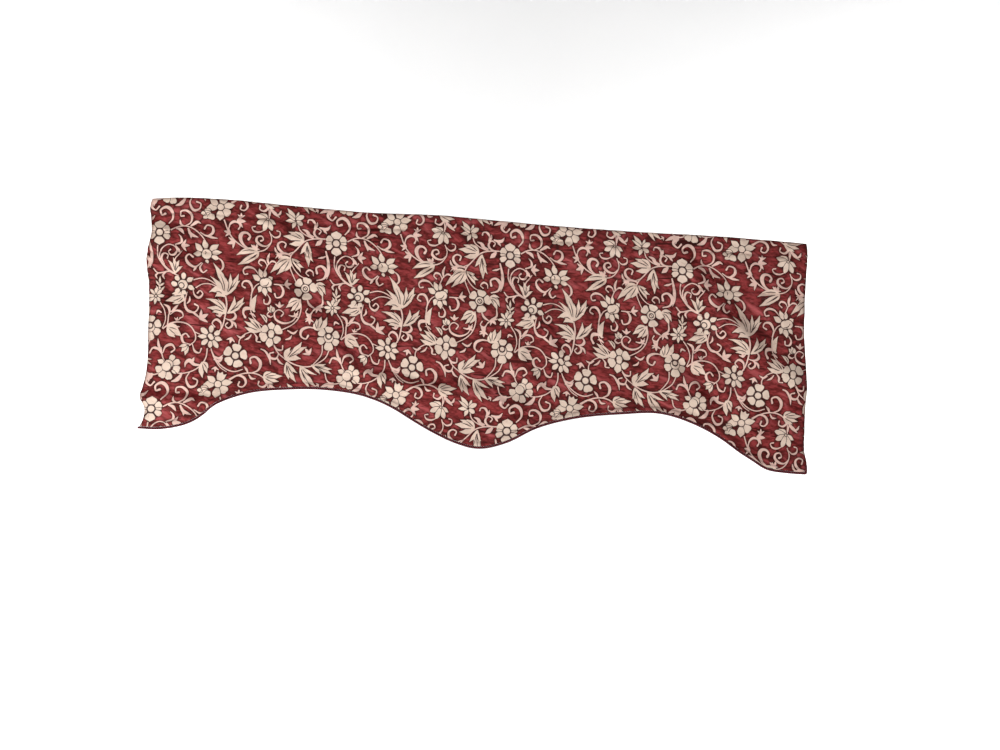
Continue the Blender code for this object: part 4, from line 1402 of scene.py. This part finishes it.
group_of = np.array([("", "")] + [(motif, yarn) for motif, yarn, _laid in shapes])[cover]
for motif, lit, yarn_name in (
    ("scrolls", SCROLL_ROSE, "rose_cream_floats"),
    ("leaves", LEAF_CREAM, "leaf_cream_floats"),
    ("flowers", FLOWER_CREAM, "flower_cream_floats"),
):
    chosen = (group_of[:, 0] == motif) & (group_of[:, 1] == "cream")
    finish = yarn_finish(yarn_name, lit, FLOAT_SHADE)
    woven_patch("woven_" + motif, triangles[chosen], CREAM_RAISE, finish)

dark_finish = Finish("dark_outline_yarn", 0.6, sheen=0.1)
fuzz = dark_finish.clamp_between(dark_finish.noise((400, 400, 700), 2), 0.3, 0.7)
dark_finish.colour(dark_finish.blend(fuzz, DARK_YARN, DEEP_CRIMSON))
dark_finish.bump(dark_finish.ribs("X", FLOAT_PITCH), 0.00015, 0.6)
woven_patch("outline_yarn", triangles[group_of[:, 1] == "dark"], DARK_RAISE, dark_finish)


# ------------------------------------------------------------------------------------------
# The sewing. Two rows of crimson lockstitch hold the header and the rod pocket, seen on the
# face and behind, and one row down each side holds the turned side hems.

STITCH_PITCH = 3.4
STITCH_LENGTH = 2.5
STITCH_HALF = 0.33
# rings of a stitch: (place along it, thickness), as shares of its length and half width
STITCH_RINGS = ((-0.5, 0.35), (-0.25, 1.0), (0.25, 1.0), (0.5, 0.35))
SEAM_ENDS_IN = 4.0
SIDE_STITCH_IN = 10.0
SEWN_LINE_STEP = 2.0
THREAD_LIFT = 0.1
LOOK_AHEAD = 0.5
THREAD = (0.12, 0.010, 0.014)


def stitch_row(centres, runs, outs):
    """Short plump stitches along a line: its points, its direction and the cloth's outward way."""
    points, faces = [], []
    for centre, run, out in zip(centres, runs, outs):
        aside = np.cross(run, out)
        first = len(points)
        for along, size in STITCH_RINGS:
            middle = centre + run * along * STITCH_LENGTH
            points += [middle + aside * STITCH_HALF * size, middle + out * STITCH_HALF * size,
                       middle - aside * STITCH_HALF * size, middle - out * STITCH_HALF * size]
        for ring_number in range(len(STITCH_RINGS) - 1):
            for k in range(4):
                a = first + ring_number * 4 + k
                b = first + ring_number * 4 + (k + 1) % 4
                faces.append((a, a + 4, b + 4, b))
        faces += [(first, first + 1, first + 2, first + 3),
                  (first + 15, first + 14, first + 13, first + 12)]
    return points, faces


def distance_run(line):
    """How far along a line each of its points lies."""
    steps = np.linalg.norm(np.diff(line, axis=0), axis=1)
    return np.concatenate([[0], np.cumsum(steps)])


def line_at(line, travelled, at):
    """Places at given distances along a line."""
    return np.stack([np.interp(at, travelled, line[:, axis]) for axis in range(3)], 1)


def along_line(line, outwards):
    """Even places along a line of points, with its direction there."""
    travelled = distance_run(line)
    at = np.arange(STITCH_PITCH, travelled[-1] - STITCH_PITCH, STITCH_PITCH)
    centres = line_at(line, travelled, at)
    runs = unit(line_at(line, travelled, at + LOOK_AHEAD) - centres)
    return centres, runs, np.tile(outwards, (len(at), 1))


stitch_points, stitch_faces = [], []
sewn_lines = []
for seam in (HEADER_SEAM, POCKET_SEAM):
    left = side_x(LEFT, np.full(1, seam))[0] + SEAM_ENDS_IN
    right = side_x(RIGHT, np.full(1, seam))[0] - SEAM_ENDS_IN
    x = np.arange(left, right, SEWN_LINE_STEP)
    drops = np.full(x.shape, seam)
    z = height_of(x, drops)
    sewn_lines.append((np.stack([x, front_y(x, drops) - THREAD_LIFT, z], 1), (0, -1, 0)))
    sewn_lines.append((np.stack([x, turned_y(x, drops) + THREAD_LIFT, z], 1), (0, 1, 0)))
for side, inward in INWARDS:
    drops = np.arange(SIDE_HEM_FROM, SIDE_HEM_TO, SEWN_LINE_STEP)
    x = side_x(side, drops) + inward * SIDE_STITCH_IN
    z = height_of(x, drops)
    sewn_lines.append((np.stack([x, front_y(x, drops) - THREAD_LIFT, z], 1), (0, -1, 0)))
for line, out in sewn_lines:
    points, faces = stitch_row(*along_line(line, np.array(out, float)))
    stitch_faces += [[number + len(stitch_points) for number in face] for face in faces]
    stitch_points += points

thread_finish = Finish("crimson_sewing_thread", 0.5, sheen=0.1)
twist = thread_finish.clamp_between(thread_finish.noise((900, 900, 900), 1), 0.3, 0.7)
thread_finish.colour(thread_finish.blend(twist, DEEP_CRIMSON, THREAD))
stitches = make_piece("header_and_pocket_stitches", stitch_points, stitch_faces,
                      (thread_finish.material,))
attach(stitches, "root")


# ------------------------------------------------------------------------------------------
# The hem cord. A burgundy cord, about 5 mm thick and 1.4 m long, is sewn along the scallop
# from the lower left corner to just round the lower right one. Two fat dark strands are laid
# together, with a thin rose strand in each of the grooves between them.

CORD_DIAMETER = 5.0
CORD_SEAT_GAP = 0.3
CORD_RISE_AT_RIGHT = 13.0
CORD_TAIL_AT_LEFT = 3.0
CORD_CORNER_STEPS = 5
CORD_TOP_LEAN = 0.8        # its end at the right leans in this far
CORD_POINTS = 500
CORD_SMOOTHING = 9         # it bridges the cloth's crinkles: mean of so many points
LAY = 9.2                  # length of one full turn of the strands
STEPS_A_TURN = 10
# strands: (name, radius, distance from the cord's middle, first angle, sides, lit, shaded)
STRANDS = (
    ("burgundy", 1.40, 1.10, (0.0, 180.0), 7, (0.070, 0.006, 0.011), (0.024, 0.002, 0.004)),
    ("rose", 0.62, 1.82, (90.0, 270.0), 6, (0.300, 0.070, 0.080), (0.130, 0.024, 0.030)),
)


def cord_route():
    """Middle line of the cord: along the hem, round the lower right corner and up a little."""
    x, drop = hem_run(CORD_POINTS)
    hem = np.stack([x, front_y(x, drop) + SHEET / 2, -drop], 1)
    offset = CORD_DIAMETER / 2 + CORD_SEAT_GAP
    run = unit(np.gradient(hem[:, [0, 2]], axis=0))
    down = np.stack([run[:, 1], np.zeros(len(run)), -run[:, 0]], 1)
    line = hem + down * offset
    padded = np.pad(hem[:, 1], CORD_SMOOTHING // 2, "edge")
    line[:, 1] = np.convolve(padded, np.ones(CORD_SMOOTHING) / CORD_SMOOTHING, "valid")
    corner = line[-1] - down[-1] * offset
    turn = []
    for k in range(1, CORD_CORNER_STEPS + 1):
        way = down[-1] * (1 - k / CORD_CORNER_STEPS) + np.array([1.0, 0, 0]) * k / CORD_CORNER_STEPS
        turn.append(corner + way / np.linalg.norm(way) * offset)
    top = turn[-1] + np.array([-CORD_TOP_LEAN, 0, CORD_RISE_AT_RIGHT])
    start = line[0] - np.array([CORD_TAIL_AT_LEFT, 0, 0])
    return np.vstack([start, line, turn, top])


def even_line(line, step):
    """The same line with its points an even step apart."""
    travelled = distance_run(line)
    at = np.linspace(0, travelled[-1], int(travelled[-1] / step) + 1)
    return line_at(line, travelled, at), at


def ways_across(line):
    """Two unit directions at right angles to a line and to each other, for each point."""
    run = unit(np.gradient(line, axis=0))
    first = unit(np.cross(run, np.array([0.0, 1.0, 0.0])))
    return first, np.cross(run, first)


def tube(line, radius, sides):
    """A round strand along a line, closed at both ends."""
    first, second = ways_across(line)
    rings = []
    for k in range(sides):
        turn = 2 * math.pi * k / sides
        rings.append(line + (first * math.cos(turn) + second * math.sin(turn)) * radius)
    points = np.stack(rings, 1).reshape(-1, 3)
    faces = []
    for i in range(len(line) - 1):
        for k in range(sides):
            a, b = i * sides + k, i * sides + (k + 1) % sides
            faces.append((a, b, b + sides, a + sides))
    faces.append(tuple(range(sides))[::-1])
    faces.append(tuple(range(len(points) - sides, len(points))))
    return points, faces


middle, travelled = even_line(cord_route(), LAY / STEPS_A_TURN)
aside, behind = ways_across(middle)
for name, radius, distance, angles, sides, lit, shaded in STRANDS:
    points, faces = [], []
    for angle in angles:
        turn = math.radians(angle) + 2 * math.pi * travelled / LAY
        strand = middle + (aside * np.cos(turn)[:, None] + behind * np.sin(turn)[:, None]) * distance
        strand_points, strand_faces = tube(strand, radius, sides)
        faces += [[number + len(points) for number in face] for face in strand_faces]
        points += strand_points.tolist()
    finish = Finish(name + "_cord_yarn", 0.6, gloss=0.15)
    fibres = finish.clamp_between(finish.noise((600, 600, 600), 2), 0.32, 0.66)
    finish.colour(finish.blend(fibres, shaded, lit))
    finish.bump(finish.noise((2400, 2400, 2400), 1), 0.0002, 0.5)
    strand_piece = make_piece(name + "_cord_strands", points, faces, (finish.material,), 70)
    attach(strand_piece, "root")
    if name == "burgundy":
        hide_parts("hem_cord")


# ------------------------------------------------------------------------------------------
# The studio. A pale floor that sweeps up into a pale backdrop, a large soft light low at the
# left, a weaker one from the front, and the camera straight on, rolled a little.

VIEW_CENTRE = (0.0614, -0.300)     # x and z that the camera looks at
VIEW_WIDTH = 1.9374                # width of the view at the cloth
ROLL = math.atan(45 / 654)         # the top edge slopes down to the right in the picture
FOCAL_LENGTH = 50.0
FILM_WIDTH = 36.0
FLOOR_Z = -2.3
BACKDROP_Y = 4.2
BACKDROP_TOP = 4.5
SWEEP_RADIUS = 0.8
SWEEP_STEPS = 12
STAGE_HALF = 7.0
STAGE_FRONT = -6.0
PAPER_TONES = ((0.90, 0.90, 0.90), (0.92, 0.92, 0.92))
ROOM_LIGHT = 0.21

profile = [(STAGE_FRONT, FLOOR_Z)]
for k in range(SWEEP_STEPS + 1):
    turn = math.pi / 2 * k / SWEEP_STEPS
    profile.append((BACKDROP_Y - SWEEP_RADIUS + SWEEP_RADIUS * math.sin(turn),
                    FLOOR_Z + SWEEP_RADIUS * (1 - math.cos(turn))))
profile.append((BACKDROP_Y, BACKDROP_TOP))
stage_points = []
for y, z in profile:
    stage_points += [(-STAGE_HALF / MM, y / MM, z / MM), (STAGE_HALF / MM, y / MM, z / MM)]
stage_faces = [(2 * k, 2 * k + 1, 2 * k + 3, 2 * k + 2) for k in range(len(profile) - 1)]
paper = Finish("pale_paper", 0.9, gloss=0.2)
tone = paper.clamp_between(paper.noise((1.5, 1.5, 1.5), 1), 0.2, 0.8)
paper.colour(paper.blend(tone, *PAPER_TONES))
backdrop = make_piece("pale_floor_and_backdrop", stage_points, stage_faces, (paper.material,))

camera_data = bpy.data.cameras.new("camera")
camera_data.lens = FOCAL_LENGTH
camera_data.sensor_width = FILM_WIDTH
camera = bpy.data.objects.new("camera", camera_data)
camera.location = (VIEW_CENTRE[0], -VIEW_WIDTH * FOCAL_LENGTH / FILM_WIDTH, VIEW_CENTRE[1])
camera.rotation_euler = (math.pi / 2, -ROLL, 0)
bpy.context.scene.collection.objects.link(camera)
bpy.context.scene.camera = camera

# lights: (name, place, what it points at, size, watts, colour)
LIGHTS = (
    ("key", (-2.3, -1.6, -1.6), (0, 0, -0.25), 0.9, 64, (1.0, 0.99, 0.97)),
    ("front", (0.4, -3.6, 0.4), (0, 0, -0.2), 1.6, 47, (1.0, 1.0, 1.0)),
    ("left of the backdrop", (-3.4, 3.0, -0.3), (-0.5, 4.2, -0.3), 1.5, 150, (1.0, 1.0, 1.0)),
    ("right of the backdrop", (3.5, 3.0, -0.3), (0.6, 4.2, -0.3), 1.5, 150, (1.0, 1.0, 1.0)),
)
for name, place_at, aim, size, watts, colour in LIGHTS:
    light = bpy.data.lights.new(name, "AREA")
    light.size = size
    light.energy = watts
    light.color = colour
    lamp = bpy.data.objects.new(name, light)
    lamp.location = place_at
    lamp.rotation_euler = (Vector(aim) - Vector(place_at)).to_track_quat("-Z", "Y").to_euler()
    bpy.context.scene.collection.objects.link(lamp)

world = bpy.data.worlds.new("studio")
world.use_nodes = True
world.node_tree.nodes["Background"].inputs["Color"].default_value = (1, 1, 1, 1)
world.node_tree.nodes["Background"].inputs["Strength"].default_value = ROOM_LIGHT
bpy.context.scene.world = world
bpy.context.scene.view_settings.view_transform = "Standard"
